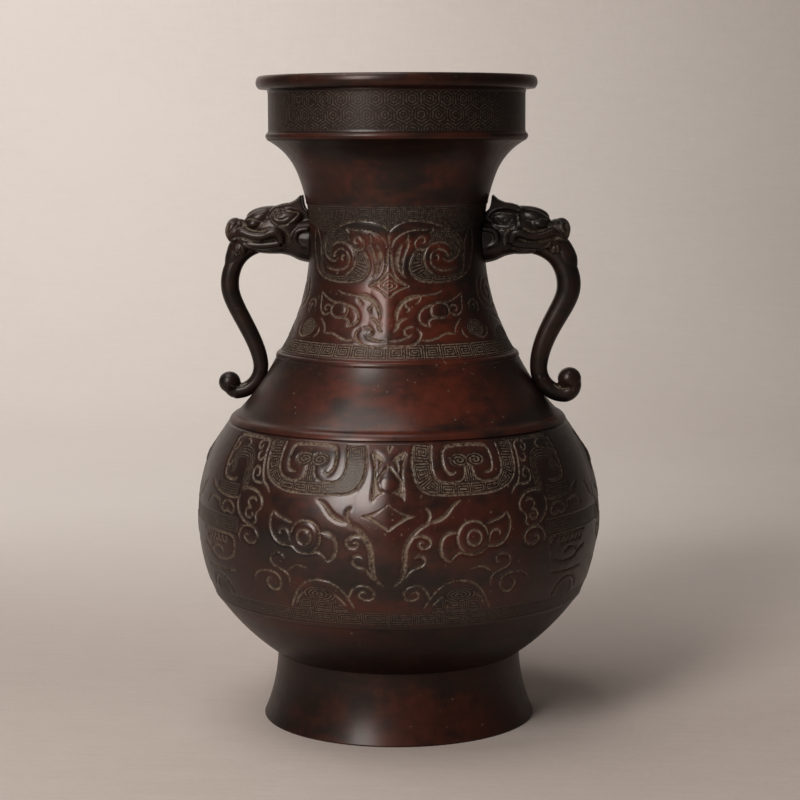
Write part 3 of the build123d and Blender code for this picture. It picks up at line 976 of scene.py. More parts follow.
def relief_wall(
    name: str,
    relief: Relief,
    radius_at: Callable[[np.ndarray], np.ndarray],
    inner: list[Point],
    angles: np.ndarray,
    ring: bool = False,
) -> bpy.types.Object:
    """Wraps a relief round the vase as a piece of its wall.

    Args:
        name: name of the piece.
        relief: heights and dust, on the same rows and columns.
        radius_at: plain outer radius by height.
        inner: inner outline, highest point first.
        angles: angle of each column.
        ring: whether the piece goes all the way round.

    Returns:
        The piece of wall.
    """
    z = relief.z
    step = 0.01
    slope = (radius_at(z + step) - radius_at(z - step)) / (2 * step)
    out = 1 / np.sqrt(1 + slope**2)
    height = relief.height()
    radius = radius_at(z)[:, None] + height * out[:, None]
    level = z[:, None] - height * (slope * out)[:, None]
    outer = wrapped(radius, level, angles)
    inner_r, inner_z = np.array(inner).T
    back = wrapped(inner_r[:, None], inner_z, angles)
    marks = {"dust": relief.dust, "fine": relief.fine, "winding": relief.winding, "shade": relief.shade()}
    return wall_piece(name, outer, back, marks, ring)


@dataclass(frozen=True)
class BellyMasks:
    """Four masks of relief round the belly, one on each quarter of the wall."""

    turn: float = 2.3
    reference: float = 112.0
    columns: int = 401
    rows: int = 223
    back_rows: int = 13
    pitch: float = 1.25
    settle: float = 1.6
    settle_start: float = 1.5
    settle_run: float = 20
    soot: float = 0.4
    keel_half: float = 17.0
    keel_rise: float = 1.5
    keel_low: float = 96.0
    keel_high: float = 166.0
    eye_across: float = 45
    eye_z: float = 122
    eye_radius: float = 9.0
    eye_rise: float = 1.1
    strip_low: float = 73.2
    strip_high: float = 80.8
    strip_cell: float = 14.7
    rim_low: float = 72.6
    rim_high: float = 168.2
    rim_soft: float = 0.5
    rim_drop: float = 0.5

    def beside_cuts(self) -> list[Cut]:
        """Grooves of the ornament beside a front mask, as distance from that mask's middle and height.

        Returns:
            The grooves.
        """
        cuts = [
            # curled body with hooks along its back
            Cut([(88, 167.3), (84, 167), (81.6, 165.4), (81, 161.4), (79.6, 156), (77.6, 151),
                 (75.4, 147.6), (72.4, 145.6), (70.2, 142.6)], 1.5, 0.9, 3.0),
            Cut([(84, 166.6), (88, 166.4), (90, 164.6), (88.6, 162.6), (86.2, 163),
                 (86.6, 164.8)], 1.3, 0.8, 2.0),
            Cut([(81.2, 159.8), (83.2, 157.8), (86.2, 158.4), (86.7, 160.6),
                 (84.6, 161.5)], 1.3, 0.8, 2.0),
            Cut([(75.4, 147.4), (80, 147), (84, 147.8), (86.2, 150.4), (86, 153.2), (83.8, 154.7),
                 (81.4, 153.2), (81, 150.8), (82.9, 150.3)], 1.4, 0.8, 2.0),
            Cut([(88, 167.3), (100, 167.4), (111, 167.2), (115.2, 165.4), (115.9, 158), (115.4, 151.5),
                 (113.6, 147.7), (109, 146.2), (103.6, 146), (99.4, 147.4)], 1.5, 0.9, 3.0),
            Cut([(105, 165.8), (101.6, 165.8), (99.2, 163.8), (102, 162.4)], 1.2, 0.7, 2.0),
            Cut([(115, 160), (112.2, 160.6), (111, 162.6), (113.2, 163.6)], 1.2, 0.7, 2.0),
            Cut([(115, 152.4), (111.8, 153.2), (111.4, 155.4)], 1.2, 0.7, 2.0),
            # comma with its two curls
            Cut([(92, 143), (84.6, 143.4), (78.6, 141.8), (75, 138.8), (74.2, 135.4),
                 (76, 132.6)], 1.7, 0.9, 3.0),
            Cut([(76, 132.6), (78, 130.4), (77.4, 127.2), (79.4, 125.2)], 1.3, 0.8, 2.0),
            Cut([(93, 139.8), (94.2, 135.6), (92.6, 131.2), (89.6, 128), (85.4, 125.4),
                 (80, 124.4)], 1.5, 0.9, 3.0),
            Cut([(78.4, 137), (80, 138.9), (82.8, 138.7), (84.8, 137.3), (84, 134.8),
                 (81.4, 133)], 1.4, 0.8, 2.0),
            Cut([(82, 133.4), (85, 132.9), (86.2, 130.6), (84.6, 128.6), (81.6, 128.5), (80.2, 130.3),
                 (81.8, 131.1)], 1.3, 0.8, 2.0),
            # ring under the comma
            Cut([(90.2, 115.2), (90.5, 119), (88, 122.6), (84, 124.2), (79, 123.3), (76.2, 120.4),
                 (76.2, 117.4), (79, 115.2), (83, 115.4), (85.8, 117.5), (84.6, 119.3),
                 (82, 119)], 1.3, 0.8, 3.0),
            # level lines and the jaw with its teeth
            Cut([(93, 137.6), (100, 137), (110, 137.5), (120, 139.4), (128, 142.6)], 1.2, 0.8, 4.0),
            Cut([(110, 129.6), (109.4, 132.2), (106, 134.4), (101, 134.4), (97.6, 132.2), (97.2, 129.6),
                 (99.6, 128.4), (103.6, 129.4), (107, 128.4), (110, 129.6)], 1.1, 0.7, 0.1),
            Cut([(129, 130.4), (125, 134.2), (118.6, 134.6), (113.4, 133),
                 (112.6, 129.8)], 1.1, 0.7, 3.0),
            Cut([(95, 109.6), (95.4, 114), (98.4, 116.6), (106, 117.1), (118, 117),
                 (131, 116.6)], 1.4, 0.9, 3.0),
            Cut([(95, 109.6), (97.2, 105.8), (102, 103.6), (110, 102.2), (118, 103), (124, 106.4),
                 (131, 108.4)], 1.4, 0.9, 3.0),
            Cut([(107, 106.4), (111.6, 109), (118, 108.6), (121.6, 105.4)], 1.6, 0.9, 2.0),
            Cut([(96, 97.4), (106, 96.5), (116, 96.1), (130, 96.8)], 1.2, 0.8, 4.0),
            Cut([(102, 83.4), (105, 88.6), (110.6, 91.8), (118, 92.2), (124.4, 89.4),
                 (128, 84)], 1.3, 0.8, 3.0),
        ]
        tooth_line = ((0, 115.6), (0.5, 113), (2.3, 112), (4.1, 113), (4.6, 115.6))
        for tooth in (103, 107.6, 112.2, 116.8, 121.4):
            cuts.append(Cut([(tooth + a, b) for a, b in tooth_line], 1.1, 0.8, 1.0))
        return cuts

    def beside_frets(self, relief: Relief, x: np.ndarray) -> None:
        """Carves the fine frets of the ornament beside a front mask.

        Args:
            relief: relief to carve.
            x: distance of each point from the front mask's middle.
        """
        z = relief.grid_z
        still = np.zeros_like(x)
        # lines along the curled body
        body = [(107, 152.4), (108.7, 156), (106, 159.6), (100, 160.4), (94, 159.2), (90.8, 155),
                (90.4, 149), (90.6, 144)]
        gap = reach_to(flowing(body), x, z)[0]
        relief.rings(gap, still, gap < 3.0, self.pitch, 0.7)
        # level lines under it
        level = (x > 96) & (x < 118) & (z > 138.4) & (z < 144.4)
        relief.rings(z - 137.0, still, level, self.pitch, 0.6)
        # row of spirals over the jaw
        under, over = z - 118.4, 126.6 - z
        relief.fret(x, under, over, 10.6, (x > 92) & (under > 0) & (over > 0), self.pitch, 0.6)
        # arched lines at the foot
        relief.ovals(x, (115, 84.5), (8.0, 5.4), 6, self.pitch, 0.6, within=z > 82.4)

    def middle_cuts(self) -> list[Cut]:
        """Grooves down the middle of every mask: leaf, branch and the scroll under it.

        Returns:
            The grooves.
        """
        return [
            # leaf
            Cut([(10.6, 163.8), (9, 161.4), (8, 158.4), (7.6, 155), (7.9, 150.6), (8.3, 146),
                 (8.5, 141.4)], 0.9, 0.8, 2.0),
            Cut([(0.2, 158), (2.6, 155.8), (5.0, 153.5), (7.0, 151.6)], 1.0, 0.8, 1.0),
            Cut([(10.2, 164), (7, 163.6), (4.4, 162.2), (2.2, 160.6)], 0.9, 0.7, 2.0),
            Cut([(4.2, 159.6), (5.2, 158.2), (5.5, 156.4), (4.9, 155.2)], 0.8, 0.6, 1.0),
            # branch from the brow down beside the nose
            Cut([(39, 141.4), (35, 139), (30.3, 134), (25.5, 131.4), (20, 130.2)], 2.4, 0.9, 8.0),
            Cut([(22, 130.6), (16, 127.4), (12, 123), (9.4, 118.4), (8.5, 113), (8.2, 107),
                 (6.6, 101.2), (2.9, 97.6)], 3.0, 1.0, 11.0),
            Cut([(19.6, 138.4), (21.6, 136), (21.6, 132.8), (19.6, 130)], 1.9, 0.9, 5.0),
            Cut([(9, 119), (11.5, 122.3), (15.4, 124), (19.4, 123.4), (21.9, 121), (20.8, 118.2),
                 (17.6, 117.6), (15.8, 119), (16.6, 120.8), (18.4, 120.4)], 1.5, 0.8, 3.0),
            Cut([(13.2, 112.4), (15.2, 113.6), (18, 112.8), (18.8, 110.2), (17, 108.2), (13.6, 107),
                 (10.6, 105), (8.4, 101.4)], 1.7, 0.9, 3.0),
            # scroll under the branch
            Cut([(11.6, 93.2), (13.6, 94.3), (15.6, 93), (15.2, 90.9), (12.4, 89.6), (9.3, 90.1),
                 (7.8, 92.4), (8.6, 95.2), (11.4, 97.2), (15, 97.7), (18.4, 96.2), (20.6, 93),
                 (22, 89.4)], 1.4, 0.8, 2.5),
        ]

    def middle_fields(self, relief: Relief) -> None:
        """Sinks the dusty areas round the leaf and the diamond, and raises the leaf.

        Args:
            relief: relief to carve.
        """
        relief.field([(0, 163.2), (2.8, 167), (0, 167)])
        relief.field([(2.6, 160.9), (4.6, 162.2), (7, 163.5), (9.6, 163.6), (8.2, 160.6), (6.6, 161),
                      (5.2, 160.2), (5.3, 158.2), (5.2, 156.2), (4.2, 158.6)])
        relief.field([(8.0, 152), (8.3, 147), (8.7, 141.2), (7.2, 143), (5.2, 144.5), (3, 145.5),
                      (1.2, 145.9), (3.4, 146.5), (4.9, 147.6), (5.6, 149.4), (5.9, 151),
                      (7, 152.2)], depth=0.9)
        relief.dome((0, 149.8), (5.5, 3.7), 0.42)
        relief.dome((0, 151.4), (4.2, 6.2), 0.28)
        relief.field([(0, 140.8), (1.6, 139), (4.9, 137), (9.1, 135.4), (14.6, 134), (9.5, 132.2),
                      (4, 129), (0, 126)], [(0, 139.6), (4.4, 136.5), (8.6, 133.8), (4.2, 130.9),
                      (0, 128.2)])

    def front_cuts(self) -> list[Cut]:
        """Grooves of the right half of a front mask, as distance from its middle and height.

        Returns:
            The grooves.
        """
        return [
            # horn and the scroll inside it
            Cut([(14.6, 167.4), (13.4, 162), (13.3, 157), (14.6, 152), (17, 148.3), (20.8, 145.7),
                 (26, 144.7), (35, 144.3), (46, 144.2), (56, 144.5), (63, 145.8), (69, 148),
                 (73.5, 151.3), (76.5, 156), (77.8, 162), (78.6, 167.4)], 1.3, 0.8, 2.0),
            Cut([(25.6, 167.4), (24.7, 162), (24.6, 157.5), (25.8, 153.8), (28.5, 151.4), (33, 150.4),
                 (38, 150.6), (41.6, 152), (43.4, 154.6), (43.9, 158)], 1.1, 0.7, 1.5),
            Cut([(67.6, 167.4), (68, 162), (67.4, 157), (65.2, 153.2), (61, 151), (56, 150.3),
                 (52, 151), (49.6, 152.8), (48.7, 155.2), (48.5, 158)], 1.1, 0.7, 1.5),
            Cut([(38.5, 155.3), (35.2, 154.3), (32.6, 156), (31.3, 159.3), (31.5, 163), (33, 165.6),
                 (37, 166.7), (47, 167), (57, 166.6), (60.6, 165.4), (61.8, 162), (61.5, 158),
                 (59.6, 155), (55, 154.3)], 1.6, 0.9, 4.0),
            # eye
            Cut([(36.3, 124.8), (31.8, 124.8), (28.6, 122.4), (27.4, 118), (28, 113.8), (30, 111),
                 (32.4, 109.7)], 2.0, 0.9, 5.0),
            Cut([(32.4, 109.7), (34.2, 112.4), (37.4, 114.5), (41, 113.8), (45, 113.3), (49.2, 114.2),
                 (53, 117), (57.4, 116.9), (61.4, 118), (64.6, 121), (66.7, 125.4), (67, 130),
                 (65.3, 134.2)], 1.3, 0.9, 3.0),
            Cut([(65.3, 134.2), (62, 131.6), (57.4, 130.1), (52.6, 128.6)], 1.3, 0.9, 3.0),
            Cut([(53.3, 122), (52, 126.4), (48.8, 129.6), (44.8, 130.5), (40.6, 129.5), (37.4, 126.4),
                 (36.3, 122), (37.4, 117.6), (40.4, 114.6)], 1.2, 0.8, 4.0),
            Cut([(41, 122), (42.2, 124.8), (45, 125.9), (47.8, 124.8), (49, 122), (47.8, 119.2),
                 (45, 118.1), (42.2, 119.2), (41, 122)], 1.3, 0.8, 0.1),
            Cut([(53.6, 118.6), (54.3, 122.4), (56, 124.9), (58.8, 125.2), (60.4, 123.6),
                 (59.4, 121.8)], 1.3, 0.8, 3.0),
            # scrolls under the eye
            Cut([(61, 108.2), (59, 107.8), (57.8, 109.4), (58.8, 111.5), (61.6, 112.3), (65, 111.3),
                 (66.7, 108.5), (65.2, 105.5), (61.4, 104), (57.4, 102.2), (55.3, 99.6),
                 (55.4, 95.2)], 1.2, 0.8, 3.0),
            Cut([(43, 105), (47, 106.4), (51.4, 106), (56.6, 102.4)], 1.1, 0.7, 4.0),
            Cut([(67, 96.2), (68.4, 97.6), (70.4, 96.6), (70.6, 94.6), (69, 92.2), (66, 91.2),
                 (62.8, 92.6), (61.2, 95.8), (62, 99.2), (65, 101.2), (69.5, 101.8), (74.5, 100.8),
                 (78.5, 98.6), (80.5, 95)], 1.3, 0.8, 4.0),
            # mouth
            Cut([(18.8, 84.6), (21, 88.6), (23.6, 92.6), (27, 96), (31.4, 98.6), (36.4, 99.6),
                 (41.4, 99.2), (45.6, 97.6), (49.4, 94.4), (52.4, 90.4), (55, 86),
                 (57, 82.6)], 1.3, 0.8, 3.0),
            Cut([(23.2, 85.8), (26, 89), (29.6, 92)], 1.2, 0.7, 2.0),
            Cut([(53, 85), (50.6, 89), (47.4, 92)], 1.2, 0.7, 2.0),
        ]

    def horn_frets(self, relief: Relief) -> None:
        """Carves the fine frets that fill the horns and mouths of a front mask.

        Args:
            relief: relief to carve.
        """
        outer = [(14.2, 168), (13.3, 157), (14.6, 152), (17, 148.3), (20.8, 145.7), (26, 144.7),
                 (46, 144.2), (63, 145.8), (69, 148), (73.5, 151.3), (76.5, 156), (77.8, 162),
                 (78.6, 168)]
        inner = [(25.6, 168), (24.6, 158), (25.8, 153.8), (28.5, 151.4), (33, 150.4), (46, 150.3),
                 (58, 150.4), (62.5, 151.5), (66, 154.2), (67.8, 159), (67.6, 168)]
        middle = [(20, 168.5), (19, 158), (21.3, 150.8), (27, 147.6), (46, 147.2), (60, 147.7),
                  (67.5, 150.5), (71.8, 156), (73.1, 168.5)]
        stem_edge = [(42.2, 150.6), (43.8, 154.4), (44, 158.4), (48.5, 158.4), (48.8, 154.4),
                     (50.6, 150.6)]
        mouth_edge = [(22.8, 82), (27.2, 88.6), (32, 89.6), (45, 89.6), (49.6, 88.4), (53.6, 82)]
        margin, horn_cell, mouth_cell = 0.4, 8.8, 10.4
        lobe_pitch, lens_pitch = 1.4, 1.1
        z = relief.grid_z
        still = np.zeros_like(z)
        for side in (1, -1):
            x = side * relief.grid_x
            horn = relief.inside(flipped(outer, side)) & ~relief.inside(flipped(inner, side)) & (z < 167.6)
            from_outer = reach_to(flowing(outer), x, z)[0] - margin
            from_inner = reach_to(flowing(inner), x, z)[0] - margin
            along = reach_to(flowing(middle), x, z)[1]
            relief.fret(along, from_outer, from_inner, horn_cell, horn, self.pitch)
            stem = relief.inside(flipped(stem_edge, side), False)
            relief.rings(x - 46.3 + 30, still, stem, self.pitch)
            for lobe, half in ((41.4, x < 46.4), (51.4, x >= 46.4)):
                relief.ovals(x, (lobe, 160.2), (5.9, 2.9), 3.4, lobe_pitch, spiral=True, within=half)
            mouth = relief.inside(flipped(mouth_edge, side), False)
            along = x + FRET_SHIFT * mouth_cell
            relief.fret(along, z - 82.2, 90.4 - z, mouth_cell, mouth, self.pitch, 0.55)
            relief.ovals(x, (38.4, 91.6), (9.4, 3.9), 4.4, lens_pitch, 0.65, spiral=True)

    def relief(self, front: bool) -> Relief:
        """Lays out one quarter of the belly.

        Args:
            front: whether it is a front or back mask, which has horns and eyes, or one at the side.

        Returns:
            The relief of that quarter.
        """
        quarter = self.reference * math.pi / 4
        x = np.linspace(-quarter, quarter, self.columns)
        reach = np.arcsin((np.array([BOWL_TOP, BAND_TOP]) - BELLY.centre_z) / BELLY.radius)
        z = BELLY.centre_z + BELLY.radius * np.sin(np.linspace(*reach, self.rows))
        drop = self.settle * eased((BAND_TOP - self.settle_start - z) / self.settle_run)
        relief = Relief(x, z + drop)
        relief.keel(self.keel_half, self.keel_rise, self.keel_low, self.keel_high)
        beside = self.beside_cuts()
        if front:
            for side in (1, -1):
                eye = (side * self.eye_across, self.eye_z)
                relief.dome(eye, (self.eye_radius, self.eye_radius), self.eye_rise)
            relief.carve_all(self.front_cuts())
            self.horn_frets(relief)
            self.beside_frets(relief, np.abs(relief.grid_x))
        else:
            beside = [cut.mirrored(quarter) for cut in beside]
            self.beside_frets(relief, 2 * quarter - np.abs(relief.grid_x))
        relief.carve_all([*self.middle_cuts(), *beside])
        self.middle_fields(relief)
        low, high = self.strip_low + self.settle, self.strip_high + self.settle
        relief.strip(low, high, self.strip_cell, self.pitch, 0.5)
        relief.sooty[:] = self.soot
        relief.z = z
        rim = beyond(z[:, None], self.rim_low, self.rim_high, self.rim_soft)
        relief.swell -= self.rim_drop * rim
        for layer in (relief.groove, relief.dust, relief.fine):
            layer *= 1 - rim
        return relief

    def build(self) -> list[bpy.types.Object]:
        """Builds the four quarters of the wall.

        Returns:
            The four pieces.
        """
        inner = BELLY.grown(-WALL).points(BAND_TOP, BOWL_TOP, self.back_rows)
        pieces = []
        for front, names in ((True, {"front": 0, "back": 180}), (False, {"right": 90, "left": 270})):
            relief = self.relief(front)
            for name, quarter in names.items():
                angles = relief.x / self.reference + math.radians(self.turn + quarter)
                pieces.append(relief_wall(f"belly_mask_{name}", relief, BELLY.at, inner, angles))
        return pieces


@dataclass(frozen=True)
class NeckMasks:
    """Two masks of relief round the neck, one on each half of the wall."""

    turn: float = -0.2
    reference: float = 56.0
    columns: int = 401
    rows: int = 222
    back_rows: int = 14
    pitch: float = 1.12
    keel_half: float = 11.0
    keel_rise: float = 1.3
    keel_low: float = 212.0
    keel_high: float = 262.0
    eye: Point = (29.5, 234)
    eye_radii: Point = (5.4, 3.9)
    eye_rise: float = 0.8
    horn: Point = (34, 262)
    horn_radii: Point = (13.0, 8.0)
    horn_rise: float = 0.7
    strip_low: float = 209.0
    strip_high: float = 216.4
    strip_spacing: float = 1.12
    rim_low: float = 208.8
    rim_high: float = 289.8
    rim_soft: float = 0.4
    rim_rise: float = 0.12
    frets_top: float = 289.6

    def cuts(self) -> list[Cut]:
        """Grooves of the right half of a mask, as distance from its middle and height.

        Returns:
            The grooves.
        """
        return [
            # arch over the brow
            Cut([(0, 276), (2.4, 278.2), (6, 280.2), (11, 281.5), (18, 281.8), (25, 281), (31, 279.4),
                 (36, 277.4)], 0.9, 0.6, 2.0),
            Cut([(0, 276.2), (0, 271), (0, 267.4)], 1.2, 0.8, 3.0),
            Cut([(1.4, 267.6), (2.8, 271.2), (5.6, 273.8), (10, 275.8), (15, 277), (20, 277),
                 (25.6, 277.2)], 1.0, 0.7, 3.0),
            Cut([(25.6, 277.2), (28, 277.4), (25.4, 275)], 1.1, 0.7, 1.5),
            # crescents beside the middle
            Cut([(0.2, 267.6), (1.2, 262.6), (1.8, 257.4), (3.6, 252.8), (7, 249.4),
                 (11.6, 247.2)], 1.5, 0.8, 3.0),
            Cut([(8, 269.4), (6.2, 266), (5, 262), (4.9, 258.4), (6, 255), (8.2, 252)], 2.7, 0.8, 6.0),
            Cut([(12, 275), (11.4, 271.6), (11.8, 268.8), (9.8, 264.6), (8.3, 260.4), (7.8, 256.6),
                 (8.6, 253.2), (10, 251.4)], 1.7, 0.8, 4.0),
            # horn with its scroll
            Cut([(16, 265.4), (13.6, 262.2), (12.4, 258.8), (12.8, 255.2), (14.8, 252.2), (18, 250.2),
                 (23, 249.2), (30, 248.9), (38, 249.4), (45, 250.6), (51, 252.6), (55.4, 255.2),
                 (58.6, 259), (60.4, 264), (60.6, 271), (59.6, 277)], 1.1, 0.8, 2.0),
            Cut([(57.6, 278.4), (54.6, 274.6), (52.4, 270), (52, 264.6), (49.6, 260)], 1.1, 0.7, 3.0),
            Cut([(19, 270.2), (20.8, 269.9), (22.3, 271.2), (21.2, 273), (18.6, 273), (16.2, 271),
                 (15.9, 268.4), (17.4, 266.6), (20.4, 266.2), (23.4, 267.4)], 1.2, 0.8, 2.0),
            Cut([(39.6, 267.4), (36.4, 269.6), (31.6, 270.1), (26.8, 269.2), (23.4, 266.6),
                 (21.9, 262.6), (22.4, 258.4), (24.8, 255), (28.6, 252.8)], 1.0, 0.7, 3.0),
            Cut([(28, 265.8), (26.2, 264), (25.6, 261), (26.4, 258.2), (29, 256.2), (33, 255.2),
                 (38, 255.3), (45, 256.4)], 1.3, 0.8, 4.0),
            Cut([(28.6, 263), (30.3, 263.2), (30.9, 261.6), (29.8, 260.2)], 1.2, 0.7, 1.5),
            Cut([(28.4, 265.9), (31.4, 266.6), (34.6, 265.9), (37.2, 264), (37.6, 262.6),
                 (35.4, 263.2)], 1.2, 0.8, 2.0),
            Cut([(33.8, 262), (35.4, 260.4), (38.6, 260), (43, 261.4), (46.4, 263.6), (47.4, 266.6),
                 (46.4, 270), (43.8, 273)], 1.1, 0.7, 3.0),
            # diamond
            Cut([(0, 254.4), (3.2, 250.8), (6.4, 248.9), (12.2, 247.1)], 1.1, 0.7, 2.0),
            Cut([(12.2, 247.1), (6.6, 245.2), (3.2, 243.4), (0, 240.6)], 1.1, 0.7, 2.0),
            Cut([(0, 250.6), (4.6, 247.2), (0, 244.2)], 0.9, 0.6, 1.0),
            Cut([(0, 248.8), (2, 247.2), (0, 245.8)], 0.7, 0.5, 0.6),
            # branch beside the nose
            Cut([(32.6, 244.6), (29.2, 243.1), (24, 242.3), (17, 241.7)], 1.0, 0.7, 4.0),
            Cut([(19.6, 241.9), (13, 240.9), (9, 239), (6.2, 236), (4.6, 232),
                 (4.5, 228.6)], 2.6, 0.9, 6.0),
            Cut([(19, 241.6), (17.6, 239.4), (15.2, 237.2)], 1.3, 0.8, 3.0),
            Cut([(9.2, 239), (9.6, 236.6), (11.2, 234.8), (10, 233.2)], 1.4, 0.8, 2.0),
            Cut([(10.4, 230.2), (7.4, 229.2), (5, 227), (4.8, 225.2), (2.8, 222.8)], 2.2, 0.8, 5.0),
            # eye
            Cut([(35.2, 234), (33.9, 236.8), (30, 238), (26, 237.2), (24, 234.4), (24.6, 231.4),
                 (27.6, 230), (31.6, 230.4), (34.4, 232), (35.2, 234)], 1.2, 0.8, 0.1),
            Cut([(25.6, 237.2), (21, 235.8), (17.8, 233.2), (16.7, 230), (18.2, 227.2),
                 (22.8, 225.3)], 1.3, 0.8, 3.0),
            Cut([(22.8, 225.3), (21.8, 227.8), (24.2, 229.8), (27.6, 230)], 1.2, 0.8, 2.0),
            Cut([(31, 237.9), (36, 238.6), (41.4, 240.6), (46.4, 243.2)], 1.1, 0.8, 3.0),
            Cut([(46.4, 243.2), (45.3, 238.8), (44.6, 235), (42.6, 232.4), (39.4, 231.2),
                 (35.2, 232.6)], 1.2, 0.8, 3.0),
            Cut([(35.2, 234.4), (36.8, 236.1), (39.4, 236.3), (40.8, 235), (39.8, 233.6),
                 (38.2, 234)], 1.1, 0.7, 2.0),
            # mouth
            Cut([(13.6, 225.8), (10.6, 225.5), (8.4, 224), (8.6, 222), (10.4, 221)], 1.2, 0.8, 2.0),
            Cut([(0, 218.2), (5, 218.6), (9.4, 220), (12.4, 222)], 1.1, 0.8, 3.0),
            Cut([(14.8, 225.2), (16.9, 222.6), (16.4, 219.6), (14, 217.2), (10, 215.7), (5, 215.1),
                 (0, 214.9)], 1.2, 0.8, 2.0),
            Cut([(16.8, 218.7), (21, 218.6), (25.4, 219.6), (30.6, 221.7),
                 (36.4, 221.4)], 1.1, 0.8, 3.0),
            Cut([(36.4, 221.4), (37, 224.2), (39, 226.9), (42.2, 229.4)], 1.1, 0.8, 3.0),
            # scrolls at the side, up to the handle
            Cut([(41.2, 224.4), (41.2, 221.4), (43.6, 218.8)], 1.0, 0.7, 2.0),
            Cut([(61.4, 225.4), (59.8, 221), (55.6, 219), (50, 219.4)], 1.1, 0.7, 3.0),
            Cut([(50.4, 234), (50.6, 237.2), (54, 238.8), (57.8, 237.2), (58.6, 233.8),
                 (55.6, 231.4)], 1.1, 0.7, 3.0),
            Cut([(52.8, 235.6), (54.6, 236.2), (55.6, 234.6), (54, 233.6)], 0.9, 0.6, 1.5),
            Cut([(66, 250), (62.6, 245.4), (63, 239.4), (67, 235), (73, 233), (80, 233.6),
                 (88, 236)], 1.2, 0.8, 4.0),
            Cut([(72, 243), (74.6, 244.4), (77.4, 242.6), (76.6, 239.2), (72.6, 238), (69, 240.4),
                 (68.8, 244.6), (72, 248), (78, 248.6), (84, 245.4), (88, 244)], 1.2, 0.8, 3.0),
            Cut([(66.6, 226.6), (70, 229.2), (76, 229), (82, 226.4), (88, 225.6)], 1.1, 0.7, 3.0),
        ]

    def frets(self, relief: Relief) -> None:
        """Carves the fine frets of the two strips, the horns and the round scrolls.

        Args:
            relief: relief to carve.
        """
        x, z = relief.grid_x, relief.grid_z
        arch = [(0, 275.4), (2.4, 278), (6, 280), (11, 281.3), (18, 281.6), (25, 280.8), (31, 279.2),
                (36, 277.2), (48, 275.6), (62, 279), (88, 281), (88, 295), (0, 295)]
        arch_foot = 11
        horn = [(17, 266.4), (13.6, 262.2), (12.4, 258.8), (12.8, 255.2), (14.8, 252.2), (18, 250.2),
                (23, 249.2), (38, 249.4), (45, 250.6), (49.6, 252.8), (51.4, 258), (52, 266), (49, 272),
                (42, 276.4), (34, 277.4), (27, 275.4), (24, 270)]
        scroll = [(39.6, 267.4), (36.4, 269.6), (31.6, 270.1), (26.8, 269.2), (23.4, 266.6),
                  (21.9, 262.6), (22.4, 258.4), (24.8, 255), (30, 252.6), (38, 252.4), (46, 254),
                  (49, 258.4), (47.6, 264), (44, 262.2), (38.6, 260.4)]
        margin, arch_cell, horn_cell, strip_cell = 0.4, 9.4, 7.6, 8.8
        sweep_step = 0.19
        for side in (1, -1):
            over, edge, curl = (flipped(points, side) for points in (arch, horn, scroll))
            above = relief.inside(over, False) & (z < self.frets_top) & (side * x >= 0)
            rise = reach_to(np.array(over[:arch_foot], float), x, z)[0] - margin
            along = side * x + FRET_SHIFT * arch_cell
            relief.fret(along, rise, self.frets_top - z, arch_cell, above, self.pitch, 0.55)
            ground = relief.inside(edge) & ~relief.inside(curl)
            from_horn = reach_to(flowing(edge), x, z)[0] - margin
            from_scroll = reach_to(flowing([*curl, curl[0]]), x, z)[0] - margin
            sweep = np.degrees(np.arctan2(z - self.horn[1], side * x - self.horn[0])) * sweep_step
            along = sweep + FRET_SHIFT * horn_cell
            relief.fret(along, from_horn, from_scroll, horn_cell, ground, self.pitch, 0.75)
            relief.ovals(side * x, (51.2, 224), (6.4, 4.6), 5.4, self.pitch)
            relief.ovals(side * x, (76, 218), (9.0, 5.0), 6.0, self.pitch)
        shallow = relief.groove < 0.35
        spacing = self.pitch * self.strip_spacing
        relief.strip(self.strip_low, self.strip_high, strip_cell, spacing, 1.0, shallow)

    def relief(self) -> Relief:
        """Lays out one mask.

        Returns:
            The relief of one half of the neck.
        """
        half = self.reference * math.pi / 2
        x = np.linspace(-half, half, self.columns)
        z = np.linspace(RIDGE_TOP, RELIEF_TOP, self.rows)
        relief = Relief(x, z)
        relief.keel(self.keel_half, self.keel_rise, self.keel_low, self.keel_high)
        for side in (1, -1):
            relief.dome((side * self.eye[0], self.eye[1]), self.eye_radii, self.eye_rise)
            relief.dome((side * self.horn[0], self.horn[1]), self.horn_radii, self.horn_rise)
        relief.carve_all(self.cuts())
        self.frets(relief)
        relief.swell += self.rim_rise * eased((relief.grid_z - self.rim_high) / self.rim_soft)
        rim = beyond(relief.grid_z, self.rim_low, self.rim_high, self.rim_soft)
        for layer in (relief.groove, relief.dust, relief.fine):
            layer *= 1 - rim
        return relief

    def build(self) -> list[bpy.types.Object]:
        """Builds the front and back halves of the wall.

        Returns:
            The two pieces.
        """
        relief = self.relief()
        heights = np.linspace(RELIEF_TOP, RIDGE_TOP, self.back_rows)
        inner = [(float(neck_radius(z, WALL)), float(z)) for z in heights]
        pieces = []
        for name, half in (("front", 0), ("back", 180)):
            angles = relief.x / self.reference + math.radians(self.turn + half)
            pieces.append(relief_wall(f"neck_mask_{name}", relief, neck_radius, inner, angles))
        return pieces


